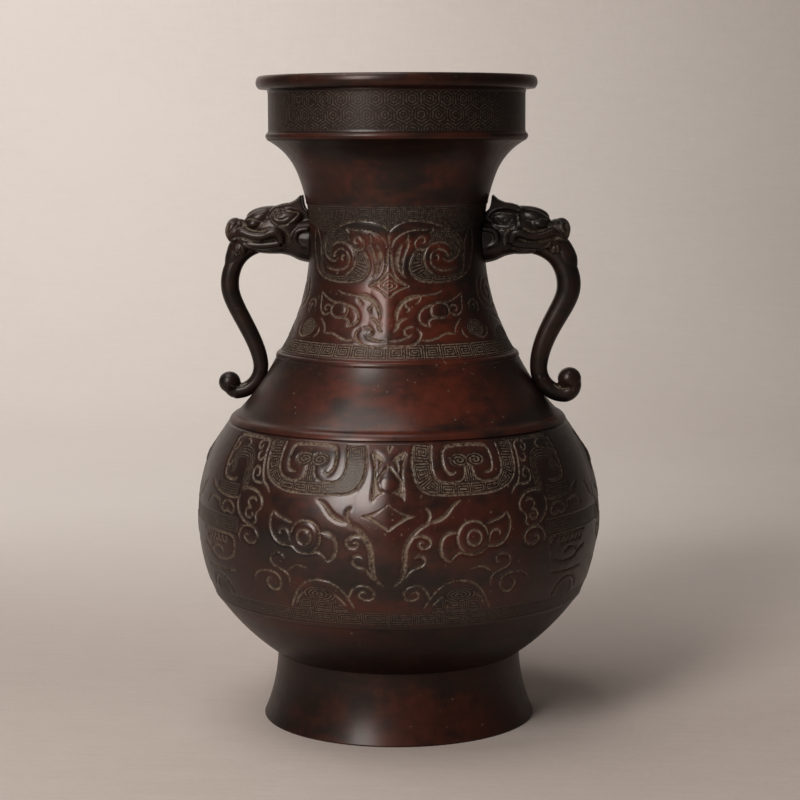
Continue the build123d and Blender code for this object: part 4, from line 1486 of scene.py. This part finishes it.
@dataclass(frozen=True)
class HexagonBand:
    """Band of nested hexagons round the collar."""

    count: int = 47
    columns: int = 1129
    rows: int = 78
    rings: float = 0.32
    faintness: float = 0.5
    middle: float = 338.2
    plain_low: float = 330.2
    plain_high: float = 350.6
    plain_soft: float = 0.5

    def relief(self) -> Relief:
        """Lays out the hexagons, pointed at top and bottom.

        Returns:
            The relief of the band.
        """
        around = math.tau * COLLAR_RADIUS
        width = around / self.count
        rise = width * math.sqrt(3) / 2
        x = np.linspace(0, around, self.columns)
        z = np.linspace(MOULDING_TOP, HEXAGON_TOP, self.rows)
        relief = Relief(x, z)
        nearest = np.full(relief.swell.shape, np.inf)
        for shift in (0, 1):
            dx = np.mod(relief.grid_x + (shift + 1) * width / 2, width) - width / 2
            dz = np.mod(relief.grid_z - self.middle + (shift + 1) * rise, 2 * rise) - rise
            dx, dz = np.abs(dx), np.abs(dz)
            nearest = np.minimum(nearest, np.maximum(dx, dx / 2 + dz * math.sqrt(3) / 2))
        half = width / 2
        plain = beyond(relief.grid_z, self.plain_low, self.plain_high, self.plain_soft)
        relief.winding = (half - nearest) / (self.rings * half) + 0.5
        relief.fine = self.faintness * (1 - plain)
        relief.sooty = 1 - plain
        relief.groove = FRET_GROUND * (1 - plain)
        return relief

    def build(self) -> bpy.types.Object:
        """Builds the band as a ring of wall.

        Returns:
            The band.
        """
        relief = self.relief()
        inner = [(BORE_RADIUS, float(z)) for z in np.linspace(HEXAGON_TOP, SPIGOT_TOP, 3)]
        angles = relief.x / COLLAR_RADIUS
        angles[-1] = angles[0]

        def plain(z: np.ndarray) -> np.ndarray:
            """Straight collar."""
            return np.full(np.shape(z), COLLAR_RADIUS)

        return relief_wall("collar_hexagon_band", relief, plain, inner, angles, ring=True)


# Plain turned pieces


@dataclass(frozen=True)
class TurnedPieces:
    """Plain zones of the vase, turned between the bands of relief."""

    fine: int = 24
    coarse: int = 12
    foot_spigot: float = 65.0
    foot_spigot_bore: float = 62.4
    foot_spigot_low: float = 28.5
    flange_top: float = 42.5
    flange_bore: float = 51.8
    body_mouth: float = 63.9
    neck_spigot: float = 63.8
    neck_spigot_bore: float = 61.2
    neck_spigot_low: float = 196.5
    collar_spigot: float = 68.8
    collar_spigot_bore: float = 66.2
    collar_seat: float = 68.9
    lip_reach: float = 75.4
    lip_nose: Point = (2.6, 3.65)
    lip_ease: float = 1.5

    def bowl(self) -> bpy.types.Object:
        """Plain bowl under the belly, with the flange and spigot that close it.

        Returns:
            The turned piece.
        """
        profile = [
            (self.foot_spigot, self.foot_spigot_low), (self.foot_spigot, FOOT_TOP),
            *BOWL.points(FOOT_TOP, BOWL_TOP, self.fine),
            *BOWL.grown(-WALL).points(BOWL_TOP, self.flange_top, self.fine),
            (self.flange_bore, self.flange_top), (self.flange_bore, FOOT_TOP),
            (self.foot_spigot_bore, FOOT_TOP), (self.foot_spigot_bore, self.foot_spigot_low),
        ]
        return lathe("body_bowl", profile)

    def shoulder(self) -> bpy.types.Object:
        """Bead over the masks and plain hollow shoulder up to the neck.

        Returns:
            The turned piece.
        """
        low = float(BELLY.at(BAND_TOP))
        inside = float(BELLY.grown(-WALL).at(BAND_TOP))
        bead = Bow.between((low + 0.2, BAND_TOP), (BEAD_RADIUS, BEAD_TOP), swell=0.8)
        profile = [
            *bead.points(BAND_TOP, BEAD_TOP, 10),
            *SHOULDER.points(BEAD_TOP, BODY_TOP, self.fine)[1:],
            (self.body_mouth, BODY_TOP), (self.body_mouth, self.neck_spigot_low),
            *SHOULDER.grown(-WALL).points(self.neck_spigot_low, BEAD_TOP, self.fine),
            (inside, BAND_TOP),
        ]
        return lathe("body_shoulder", profile)

    def ridge(self) -> bpy.types.Object:
        """Ridge at the foot of the neck, with the spigot that sits in the body.

        Returns:
            The turned piece.
        """
        ridge = Bow.between((SHOULDER_RADIUS, BODY_TOP), (RIDGE_RADIUS, RIDGE_TOP), swell=0.9)
        inside = float(NECK_LOWER.grown(-WALL).at(RIDGE_TOP))
        profile = [
            (self.neck_spigot, self.neck_spigot_low), (self.neck_spigot, BODY_TOP),
            *ridge.points(BODY_TOP, RIDGE_TOP, self.coarse),
            (inside, RIDGE_TOP), (self.neck_spigot_bore, BODY_TOP),
            (self.neck_spigot_bore, self.neck_spigot_low),
        ]
        return lathe("neck_ridge", profile)

    def flare(self) -> bpy.types.Object:
        """Plain flare of the neck, with the spigot that carries the collar.

        Returns:
            The turned piece.
        """
        profile = [
            *NECK_UPPER.points(RELIEF_TOP, FLARE_LOW, self.coarse),
            *FLARE.points(FLARE_LOW, NECK_TOP, self.fine)[1:],
            (self.collar_spigot, NECK_TOP), (self.collar_spigot, SPIGOT_TOP),
            (self.collar_spigot_bore, SPIGOT_TOP),
            *FLARE.grown(-WALL).points(NECK_TOP, FLARE_LOW, self.fine),
            *NECK_UPPER.grown(-WALL).points(FLARE_LOW, RELIEF_TOP, self.coarse)[1:],
        ]
        return lathe("neck_flare", profile)

    def moulding(self) -> bpy.types.Object:
        """Rounded moulding under the hexagon band.

        Returns:
            The turned piece.
        """
        moulding = Bow.between((COLLAR_RADIUS, NECK_TOP), (COLLAR_RADIUS, MOULDING_TOP), swell=1.3)
        profile = [
            *moulding.points(NECK_TOP, MOULDING_TOP, 14),
            (BORE_RADIUS + 0.4, SPIGOT_TOP), (self.collar_seat, SPIGOT_TOP), (self.collar_seat, NECK_TOP),
        ]
        return lathe("collar_moulding", profile)

    def lip(self) -> bpy.types.Object:
        """Rounded lip over the hexagon band.

        Returns:
            The turned piece.
        """
        out, rise = self.lip_nose
        ease = self.lip_ease
        turns = np.linspace(0, math.pi, 16)
        middle = MOUTH_TOP - rise
        nose = [(self.lip_reach + out * math.sin(a), middle - rise * math.cos(a)) for a in turns]
        turns = np.linspace(0, math.pi / 2, 6)
        middle = MOUTH_TOP - ease
        inner = [(BORE_RADIUS + ease * (1 - math.sin(a)), middle + ease * math.cos(a)) for a in turns]
        under = [(COLLAR_RADIUS, HEXAGON_TOP), (COLLAR_RADIUS + 0.4, HEXAGON_TOP + 0.1)]
        return lathe("collar_lip", [*under, *nose, *inner, (BORE_RADIUS, HEXAGON_TOP)])

    def build(self) -> dict[str, list[bpy.types.Object]]:
        """Builds the plain pieces, grouped by the node that each stands for.

        Returns:
            Lists of pieces by node.
        """
        return {
            "vessel_body": [self.bowl(), self.shoulder()],
            "neck": [self.ridge(), self.flare()],
            "mouth_collar": [self.moulding(), self.lip()],
        }


# Handles


def blob(centre: tuple, radii: tuple, tilt: float = 0.0) -> bpy.types.Object:
    """Ellipsoid of clay.

    Args:
        centre: its middle in millimetres.
        radii: its half sizes in millimetres.
        tilt: its turn about Y in degrees.

    Returns:
        The lump.
    """
    clear_selection()
    place = [c * MM for c in centre]
    bpy.ops.mesh.primitive_uv_sphere_add(segments=40, ring_count=24, radius=MM, location=place)
    piece = bpy.context.object
    piece.scale = radii
    piece.rotation_euler = (0, math.radians(tilt), 0)
    bpy.ops.object.transform_apply(location=True, rotation=True, scale=True)
    return piece


def rope(points: Sequence[tuple], radii: Sequence[float], flat: float = 1.0) -> bpy.types.Object:
    """Roll of clay along points.

    Args:
        points: points along its middle in millimetres.
        radii: radius at each point in millimetres.
        flat: share of its depth that is left, along Y.

    Returns:
        The lump.
    """
    curve = bpy.data.curves.new("roll", "CURVE")
    curve.dimensions = "3D"
    curve.bevel_depth = MM
    curve.bevel_resolution = 7
    curve.use_fill_caps = True
    curve.resolution_u = 8
    spline = curve.splines.new("NURBS")
    spline.points.add(len(points) - 1)
    for place, point, radius in zip(spline.points, points, radii):
        place.co = (*[c * MM for c in point], 1)
        place.radius = radius
    spline.order_u = 3
    spline.use_endpoint_u = True
    piece = bpy.data.objects.new("roll", curve)
    bpy.context.scene.collection.objects.link(piece)
    only(piece)
    bpy.ops.object.convert(target="MESH")
    piece = bpy.context.object
    piece.scale = (1, flat, 1)
    bpy.ops.object.transform_apply(location=False, rotation=False, scale=True)
    return piece


def plate(outline: Sequence[Point], y: float, thickness: float) -> bpy.types.Object:
    """Flat blade with an outline in the plane of the handle, extruded to a thickness.

    Args:
        outline: X and Z of its corners in millimetres.
        y: place of its middle along Y in millimetres.
        thickness: its thickness along Y in millimetres.

    Returns:
        The lump.
    """
    clear_selection()
    bpy.ops.mesh.primitive_circle_add(vertices=len(outline), radius=MM, fill_type="NGON")
    piece = bpy.context.object
    for vertex, (x, z) in zip(piece.data.vertices, outline):
        vertex.co = (x * MM, (y - thickness / 2) * MM, z * MM)
    bpy.ops.object.mode_set(mode="EDIT")
    bpy.ops.mesh.select_all(action="SELECT")
    bpy.ops.mesh.extrude_region_move(TRANSFORM_OT_translate={"value": (0, thickness * MM, 0)})
    bpy.ops.mesh.select_all(action="SELECT")
    bpy.ops.mesh.normals_make_consistent(inside=False)
    bpy.ops.object.mode_set(mode="OBJECT")
    return piece


def moulded(name: str, lumps: Sequence[bpy.types.Object], grain: float, softness: int) -> bpy.types.Object:
    """Joins lumps of clay to one skin.

    Args:
        name: name of the piece.
        lumps: closed meshes that overlap.
        grain: voxel size in millimetres.
        softness: rounds of smoothing.

    Returns:
        The joined piece.
    """
    clear_selection()
    for lump in lumps:
        lump.select_set(True)
    bpy.context.view_layer.objects.active = lumps[0]
    bpy.ops.object.join()
    piece = bpy.context.object
    piece.name = name
    apply_modifier(piece, "REMESH", mode="VOXEL", voxel_size=grain * MM)
    apply_modifier(piece, "SMOOTH", factor=0.5, iterations=softness)
    return piece


def engrave(piece: bpy.types.Object, cuts: Sequence[Cut], origin: Point, facing: float = 0.25) -> None:
    """Carves grooves into both flanks of a moulded piece.

    Args:
        piece: the piece, on the +X side.
        cuts: grooves in the plane of the handle, from an origin, in millimetres.
        origin: X and Z of that origin.
        facing: least sideways share of a normal that takes the groove.
    """
    mesh = piece.data
    count = len(mesh.vertices)
    place = np.empty(count * 3)
    normal = np.empty(count * 3)
    mesh.vertices.foreach_get("co", place)
    mesh.vertices.foreach_get("normal", normal)
    place, normal = place.reshape(-1, 3), normal.reshape(-1, 3)
    x = place[:, 0] / MM - origin[0]
    z = place[:, 2] / MM - origin[1]
    side = eased((np.abs(normal[:, 1]) - facing) / 0.3)
    depth = np.zeros(count)
    dust = np.zeros(count)
    for cut in cuts:
        gap, along, length = reach_to(flowing(cut.points), x, z)
        thin = np.clip(np.minimum(along, length - along) / max(cut.fade, 1e-6), 0, 1)
        half = cut.width / 2 * (0.3 + 0.7 * np.sqrt(thin))
        depth = np.maximum(depth, cut.depth * eased((half - gap) / half * 1.2) * side)
        dust = np.maximum(dust, eased((half * 0.9 - gap) / (half * 0.7)) * side)
    mesh.vertices.foreach_set("co", (place - normal * (depth * MM)[:, None]).ravel())
    mesh.attributes.new("dust", "FLOAT", "POINT").data.foreach_set("value", dust)
    mesh.update()


@dataclass(frozen=True)
class Handle:
    """Beast's head on the neck with a scroll hanging from its jaws, laid out on the +X side.

    jaw sets the rod's radius inside the jaws, top is its radius below them and foot at the curl, and
    knob is the radius of the ball at its end. chin is how far the chin stands out, spread how far the
    bend does, tuck how far the rod's middle is drawn in and press how far the curl is pressed into the
    shoulder. The last turn has the radius roll_radius, is moved out by roll_reach and ends at the angle
    roll_end.
    """

    name: str
    turn: float
    jaw: float
    top: float
    foot: float
    knob: float
    chin: float
    spread: float
    tuck: float
    press: float
    roll_radius: float
    roll_reach: float
    roll_end: float
    panel: Panel
    head_z: float = 272.0
    curl_z: float = 198.0
    curl_radius: float = 14.5
    tenon_radius: float = 4.5
    grain: float = 0.5
    softness: int = 3

    @property
    def roll_z(self) -> float:
        """Height of the middle of the last turn."""
        return self.curl_z - self.curl_radius + self.roll_radius

    @property
    def curl_x(self) -> float:
        """Centre of the curl, whose rod lies against the shoulder."""
        span = SHOULDER.radius - (self.curl_radius + self.foot - self.press)
        return SHOULDER.centre_r - math.sqrt(span**2 - (SHOULDER.centre_z - self.curl_z) ** 2)

    def path(self) -> list[tuple[float, float, float]]:
        """Middle of the rod with its radius: bend, sweep to the shoulder, curl.

        Returns:
            X, Z and radius of each stop.
        """
        stops = []
        bend = ((16, -3.2, 0.0), (27, -4.8, 0.2), (34, -7.2, 0.4), (39.6, -11.6, 0.65),
                (43, -17.6, 0.85), (44.5, -24, 1.0), (44.6, -28.5, 1.0))
        hidden = self.jaw * 0.7
        for reach, lift, share in bend:
            x = WAIST_RADIUS + reach + self.spread * share
            stops.append((x, self.head_z + lift, hidden + (self.top - hidden) * share))
        start = stops[-1][:2]
        end = (self.curl_x - self.curl_radius, self.curl_z)
        drop, step = start[1] - end[1], start[0] - end[0]
        even, eased_share = 0.62, 0.38
        for share in np.linspace(0, 1, 12)[1:]:
            s = 0.5 - 0.5 * math.cos(math.pi * share)
            lean = share + (s - share) * even
            tucked = self.tuck * math.sin(math.pi * share) ** 2
            z = start[1] - drop * (share * even + lean * eased_share)
            stops.append((start[0] - step * s - tucked, z, self.top + (self.foot - self.top) * share))
        for a in np.radians(np.linspace(180, 270, 7))[1:]:
            x = self.curl_x + self.curl_radius * math.cos(a)
            stops.append((x, self.curl_z + self.curl_radius * math.sin(a), self.foot))
        for a in np.radians(np.linspace(270, self.roll_end, 8))[1:]:
            x = self.curl_x + self.roll_reach + self.roll_radius * math.cos(a)
            stops.append((x, self.roll_z + self.roll_radius * math.sin(a), self.foot))
        return stops

    def scroll(self) -> bpy.types.Object:
        """Rod with its curl and the ball that it rolls up into.

        Returns:
            The scroll, on the +X side.
        """
        path = self.path()
        rod = rope([(x, 0, z) for x, z, _ in path], [r for _, _, r in path])
        tip = path[-1]
        ball = blob((tip[0] + 0.1, 0, tip[1] - 0.8), (self.knob, self.knob * 1.02, self.knob * 0.98))
        piece = moulded(f"{self.name}_scroll", [rod, ball], self.grain, self.softness)
        r = self.roll_radius
        crease = [(0.75 * r, -0.1 * r), (0.2 * r, -0.35 * r), (-0.5 * r, -0.3 * r), (-1.1 * r, 0.1 * r)]
        engrave(piece, [Cut(crease, 1.6, 0.7, 3.0)], (self.curl_x + self.roll_reach, self.roll_z))
        return piece

    def head_lumps(self) -> list[bpy.types.Object]:
        """Lumps that the head is built up from; reach is from the waist, lift from the head's middle.

        Returns:
            The lumps, on the +X side.
        """

        def at(reach: float, y: float, lift: float) -> tuple[float, float, float]:
            """Place of a point of the head."""
            return (WAIST_RADIUS + reach, y, self.head_z + lift)

        chin, spread, top = self.chin, self.spread, self.top
        crest = [(21, 14.8), (18.6, 16.6), (15, 17.8), (11, 18.3), (7.4, 19.9), (4.2, 22.8),
                 (3.5, 17.6), (2.7, 15), (0.7, 13.3), (-1, 8), (14, 8)]
        blade = [(WAIST_RADIUS + reach, self.head_z + lift) for reach, lift in crest]
        lumps = [
            rope([at(-1.5, 0, -2.0), at(2.5, 0, -1.8), at(6, 0, -1.2), at(10, 0, -0.6), at(16, 0, -0.2),
                  at(24, 0, 0)], (13.6, 13.2, 12.2, 11.0, 10.3, 9.4), 0.88),
            blob(at(17, 0, 3.2), (20, 10.6, 10.6)),
            blob(at(31, 0, -0.8), (14, 9.2, 8.6)),
            blob(at(20, 0, 9.2), (16, 9.0, 7.3), -2),
            blob(at(20, 0, -4.6), (20, 8.0, 5.9), 0),
            blob(at(42.0, 0, 3.0), (5.6, 7.6, 6.9), 8),
            blob(at(36.5, 0, 2.6), (7.0, 7.4, 5.2), 4),
            blob(at(39.4, 0, 3.8), (4.8, 7.2, 5.4)),
            rope([at(36, 0, -1.5), at(40 + chin, 0, -5), at(41.6 + 0.4 * spread + chin, 0, -10),
                  at(42.6 + spread + 0.7 * chin, 0, -15),
                  at(43.8 + spread + 0.1 * chin, 0, -21)],
                 (5.4, 5.7, 0.5 * top + 2.9, 0.8 * top + 0.9, 0.72 * top)),
        ]
        for side in (-1, 1):
            lumps += [
                blob(at(28.4, 4.8 * side, 9.4), (9.4, 4.6, 4.4), 24),
                blob(at(30.6, 6.4 * side, 6.6), (4.6, 3.6, 2.6), 6),
                blob(at(42.4, 4.6 * side, 1.8), (4.9, 3.9, 6.4), 10),
                rope([at(42.5, 6.0 * side, -0.8), at(39.2, 7.4 * side, 2.6), at(35.6, 8.4 * side, 1.6),
                      at(31, 9.2 * side, -0.2), at(25, 9.8 * side, -0.4), at(19.6, 10.2 * side, 2.4),
                      at(15.2, 9.8 * side, 1.2),
                      at(14.8, 9.0 * side, -4.0)], (1.6, 2.2, 2.3, 2.3, 2.5, 2.9, 2.6, 1.8)),
                rope([at(37, 5.8 * side, -4.8), at(31, 7.0 * side, -5.4), at(23, 7.4 * side, -5.4),
                      at(15.6, 8.2 * side, -4.0)], (2.2, 2.4, 2.4, 2.2)),
                blob(at(38.8, 4.4 * side, -7.6), (4.2, 2.8, 3.8), -20),
                blob(at(12.6, 7.0 * side, 9.6), (9.4, 3.8, 5.0), 8),
                rope([at(-1.0, 11.4 * side, 4.0), at(5.4, 11.0 * side, 3.8), at(7.4, 10.6 * side, -0.4),
                      at(6.8, 10.4 * side, -3.6), at(3.2, 10.2 * side, -5.8),
                      at(-1.4, 10.4 * side, -6.0)], (1.2, 1.5, 1.6, 1.5, 1.3, 1.0)),
                plate(blade, 4.4 * side, 4.6),
            ]
        return lumps

    def head_cuts(self) -> list[Cut]:
        """Grooves on the flanks of the head.

        Returns:
            The grooves, from the waist and the head's middle.
        """
        cuts = [
            Cut([(45.2, -3.0), (42, -1.4), (38.6, -0.8), (34, -2.2), (28.4, -3.2), (22, -2.6),
                 (18.4, -1.6)], 1.7, 1.1, 3.0),
            Cut([(40.6, 6.0), (43, 3.2), (45, 0.4)], 1.2, 0.8, 2.0),
            Cut([(45.4, 6.8), (46.8, 3.0), (46.4, -1.4)], 4.6, 0.15, 3.0),
            Cut([(38.0, 9.2), (36.4, 7.0), (34.6, 5.2)], 3.0, 0.9, 2.0),
            Cut([(36.4, 9.0), (31.6, 9.6), (27.2, 8.2), (22.6, 8.8)], 1.3, 0.8, 3.0),
            Cut([(36.0, 5.0), (32, 3.2), (26, 2.8), (21, 4.8)], 2.0, 0.8, 4.0),
            Cut([(16.8, 5.4), (12.6, 3.0), (10.8, -2.0), (12.6, -7.4)], 1.2, 0.6, 3.0),
            Cut([(42.8, -8.4), (41.2, -10.6), (39.6, -10), (38.2, -11.4), (36.4, -10),
                 (34.8, -9.2)], 1.4, 0.7, 2.0),
            Cut([(40.2, -5.4), (40.6, -7.6), (40.0, -9.6)], 1.0, 0.5, 1.5),
            Cut([(37.8, -5.8), (37.8, -8), (37.0, -9.8)], 1.0, 0.5, 1.5),
            Cut([(36.2, -3.6), (33.6, -6.2), (28, -8.4), (20, -8.4), (15, -6.4)], 1.2, 0.5, 4.0),
        ]
        if self.panel is Panel.TEARDROP:
            cuts += [
                Cut([(21.7, 10.8), (19.4, 14.4), (16.2, 15.2), (11.2, 13.9), (5.4, 12.8), (9.6, 8.2),
                     (13.5, 6.0), (18.8, 7.0), (21.7, 10.8)], 1.2, 0.8, 0.1),
                Cut([(11, 10.4), (14.2, 9.2), (17.4, 9.6), (18.6, 11.4), (17.8, 13.2), (15.8, 13.2),
                     (15, 11.8), (16.4, 11.2)], 1.0, 0.7, 1.5),
            ]
        else:
            cuts += [
                Cut([(18.4, 12.0), (17.6, 4.6), (8, 4.2), (4.6, 6.4), (4.4, 11.2), (10, 12.4),
                     (18.4, 12.0)], 1.2, 0.8, 0.1),
                Cut([(7, 9.8), (9.4, 7.0), (11.6, 9.6), (13.6, 7.0), (15.6, 9.8)], 0.9, 0.6, 1.0),
            ]
        return cuts

    def head(self) -> bpy.types.Object:
        """Beast's head with its tenon through the neck's wall.

        Returns:
            The head, on the +X side.
        """
        lumps = self.head_lumps()
        stops = [(reach, 0, self.head_z) for reach in (38.0, 45, WAIST_RADIUS + 8)]
        tenon = rope(stops, [self.tenon_radius] * len(stops))
        piece = moulded(f"{self.name}_head", [*lumps, tenon], self.grain, self.softness)
        engrave(piece, self.head_cuts(), (WAIST_RADIUS, self.head_z))
        return piece

    def build(self) -> dict[str, bpy.types.Object]:
        """Builds the head and the scroll on this handle's own side.

        Returns:
            The two pieces by node.
        """
        pieces = {f"{self.name}_head": self.head(), f"{self.name}_scroll": self.scroll()}
        for piece in pieces.values():
            piece.data.transform(Matrix.Rotation(math.radians(self.turn), 4, "Z"))
            piece.data.update()
            smooth_by_angle(piece, 75)
        return pieces


# Studio


@dataclass(frozen=True)
class Studio:
    """Paper sweep, soft lamps and the camera of the photograph."""

    distance: float = 1186.6
    eye_z: float = 328.1
    azimuth: float = 5.0
    pitch: float = 7.153
    yaw: float = 0.062
    roll: float = 0.2
    focal_px: float = 2119.6
    frame_px: int = 800
    sensor: float = 36.0
    far_clip: float = 50
    paper_bend: float = 0.65
    paper_back: float = 1.75
    paper_front: float = -5.0
    paper_top: float = 2.6
    paper_half: float = 5.0
    room_light: float = 0.10

    def camera(self) -> None:
        """Places the camera that the photograph was fitted with."""
        clear_selection()
        angle = math.radians(self.azimuth)
        x, y = self.distance * math.sin(angle), -self.distance * math.cos(angle)
        bpy.ops.object.camera_add(location=(x * MM, y * MM, self.eye_z * MM))
        camera = bpy.context.object
        turn = Matrix.Rotation(math.radians(self.azimuth - self.yaw), 4, "Z")
        turn = turn @ Matrix.Rotation(math.radians(90 - self.pitch), 4, "X")
        turn = turn @ Matrix.Rotation(math.radians(-self.roll), 4, "Z")
        camera.rotation_euler = turn.to_euler()
        camera.data.sensor_width = self.sensor
        camera.data.lens = self.focal_px / self.frame_px * self.sensor
        camera.data.clip_end = self.far_clip
        bpy.context.scene.camera = camera

    def lamp(
        self,
        name: str,
        place: tuple,
        size: tuple,
        power: float,
        target: tuple = (0, 0, 0.18),
    ) -> None:
        """Hangs a soft box that faces a point, by default the middle of the vase.

        Args:
            name: name of the lamp.
            place: where it hangs, in metres.
            size: its width and height in metres.
            power: its power in watts.
            target: the point that it faces, in metres.
        """
        clear_selection()
        bpy.ops.object.light_add(type="AREA", location=place)
        lamp = bpy.context.object
        lamp.name = name
        lamp.data.shape = "RECTANGLE"
        lamp.data.size, lamp.data.size_y = size
        lamp.data.energy = power
        lamp.data.color = WARM_LIGHT
        lamp.rotation_euler = (Vector(target) - Vector(place)).to_track_quat("-Z", "Y").to_euler()

    def sweep(self) -> bpy.types.Object:
        """Paper that runs from the floor up into the backdrop in one curve.

        Returns:
            Nothing; the paper is marked as the backdrop.
        """
        clear_selection()
        bpy.ops.mesh.primitive_plane_add(size=MM)
        paper = bpy.context.object
        paper.name = "paper_sweep"
        bend, front, half = self.paper_bend, self.paper_front, self.paper_half
        floor_end = self.paper_back - bend
        points = [(front, 0.0), (floor_end, 0.0)]
        for a in np.radians(np.linspace(7.5, 90, 12)):
            points.append((floor_end + bend * math.sin(a), bend - bend * math.cos(a)))
        points.append((self.paper_back, self.paper_top))
        bpy.ops.object.mode_set(mode="EDIT")
        bpy.ops.mesh.merge(type="CENTER")
        bpy.ops.transform.translate(value=(-half, front, 0))
        for (y_from, z_from), (y_to, z_to) in zip(points, points[1:]):
            step = (0, y_to - y_from, z_to - z_from)
            bpy.ops.mesh.extrude_vertices_move(TRANSFORM_OT_translate={"value": step})
        bpy.ops.mesh.select_all(action="SELECT")
        bpy.ops.mesh.extrude_edges_move(TRANSFORM_OT_translate={"value": (2 * half, 0, 0)})
        bpy.ops.mesh.select_all(action="SELECT")
        bpy.ops.mesh.normals_make_consistent(inside=False)
        bpy.ops.object.mode_set(mode="OBJECT")
        smooth_by_angle(paper, 40)
        paper.data.transform(Matrix.Rotation(math.radians(self.azimuth), 4, "Z"))
        finish = PaperFinish("warm_paper", lit=(0.70, 0.65, 0.615), shaded=(0.36, 0.295, 0.262))
        paper.data.materials.append(finish.material())
        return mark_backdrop(paper)

    def build(self) -> None:
        """Sets up the whole studio."""
        self.sweep()
        self.camera()
        self.lamp("key_box", place=(-0.62, -1.25, 0.95), size=(0.5, 0.95), power=23.0)
        self.lamp("top_box", place=(-0.35, -0.1, 1.5), size=(1.0, 0.8), power=10.0)
        wall = (-0.75, 1.85, 0.97)
        self.lamp("paper_box", place=(-0.75, 1.0, 1.5), size=(1.0, 0.8), power=12.5, target=wall)
        world = bpy.data.worlds.new("room")
        bpy.context.scene.world = world
        world.use_nodes = True
        background = world.node_tree.nodes["Background"]
        background.inputs["Color"].default_value = (*WARM_LIGHT, 1.0)
        background.inputs["Strength"].default_value = self.room_light


FINISHES = {
    Slot.PATINA: BronzeFinish(
        name="patinated_bronze",
        dark=(0.0072, 0.0044, 0.0034),
        warm=(0.070, 0.0140, 0.0068),
        warm_share=0.95,
        dust=(0.178, 0.136, 0.098),
        dust_share=0.95,
        roughness=0.40,
        metallic=0.1,
        coat=0.70,
        shine=0.18,
        tint=(1.0, 0.78, 0.70),
        side_dark=0.72,
    ),
    Slot.DARK: BronzeFinish(
        name="dark_bronze",
        dark=(0.0065, 0.0052, 0.0046),
        warm=(0.028, 0.0105, 0.0068),
        warm_share=0.6,
        dust=(0.115, 0.094, 0.066),
        dust_share=0.85,
        roughness=0.38,
        metallic=0.15,
        coat=0.28,
        shine=0.20,
        tint=(1.0, 0.93, 0.88),
        side_dark=0.0,
    ),
    Slot.RAW: BronzeFinish(
        name="raw_bronze",
        dark=(0.085, 0.052, 0.033),
        warm=(0.13, 0.07, 0.04),
        warm_share=0.5,
        dust=(0.2, 0.16, 0.11),
        dust_share=0.5,
        roughness=0.55,
        metallic=0.6,
        coat=0.0,
        shine=0.5,
        tint=(1.0, 0.85, 0.7),
        side_dark=0.0,
    ),
}
KEPT_NODES = {
    "foot_ring": Slot.PATINA,
    "base_plate": Slot.RAW,
    "base_plate_rivets": Slot.RAW,
    "foot_pins": Slot.RAW,
    "neck_pins": Slot.RAW,
    "collar_pins": Slot.RAW,
    "handle_keys": Slot.RAW,
    "scroll_dowels": Slot.RAW,
}


def seat(piece: bpy.types.Object, node: str, material: bpy.types.Material) -> None:
    """Gives a finished piece its material and its body, and hides the CAD mesh of the node that it stands
    for.

    Args:
        piece: the piece.
        node: node that it stands for.
        material: its material.
    """
    piece.data.materials.clear()
    piece.data.materials.append(material)
    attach(piece, BODY)
    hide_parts(node)
    LOG.info("%s stands for %s with %d faces", piece.name, node, len(piece.data.polygons))


def main() -> None:
    """Builds the vase piece by piece and dresses it."""
    logging.basicConfig(level=logging.INFO, format="%(name)s: %(message)s")
    bpy.context.scene.view_settings.view_transform = "Standard"
    materials = {slot: finish.material() for slot, finish in FINISHES.items()}
    for name, slot in KEPT_NODES.items():
        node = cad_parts[name]
        node.data.materials.clear()
        node.data.materials.append(materials[slot])
        LOG.info("%s keeps its CAD mesh, with the finish %s", name, slot.value)
    for node, pieces in TurnedPieces().build().items():
        for piece in pieces:
            seat(piece, node, materials[Slot.PATINA])
    for piece in BellyMasks().build():
        seat(piece, "vessel_body", materials[Slot.PATINA])
    for piece in NeckMasks().build():
        seat(piece, "neck", materials[Slot.PATINA])
    seat(HexagonBand().build(), "mouth_collar", materials[Slot.PATINA])
    handles = (
        Handle(
            name="left_handle", turn=180.0, panel=Panel.TEARDROP,
            jaw=6.2, top=5.2, foot=4.3, knob=6.2, chin=0.0, spread=1.2, tuck=0.7, press=1.6,
            roll_radius=5.0, roll_reach=-1.4, roll_end=373.0,
        ),
        Handle(
            name="right_handle", turn=0.0, panel=Panel.BLOCK,
            jaw=7.2, top=6.8, foot=4.9, knob=6.6, chin=1.7, spread=2.2, tuck=1.8, press=0.9,
            roll_radius=5.2, roll_reach=-0.5, roll_end=412.0,
        ),
    )
    for handle in handles:
        for name, piece in handle.build().items():
            seat(piece, name, materials[Slot.DARK])
    Studio().build()


if __name__ == "__main__":
    main()
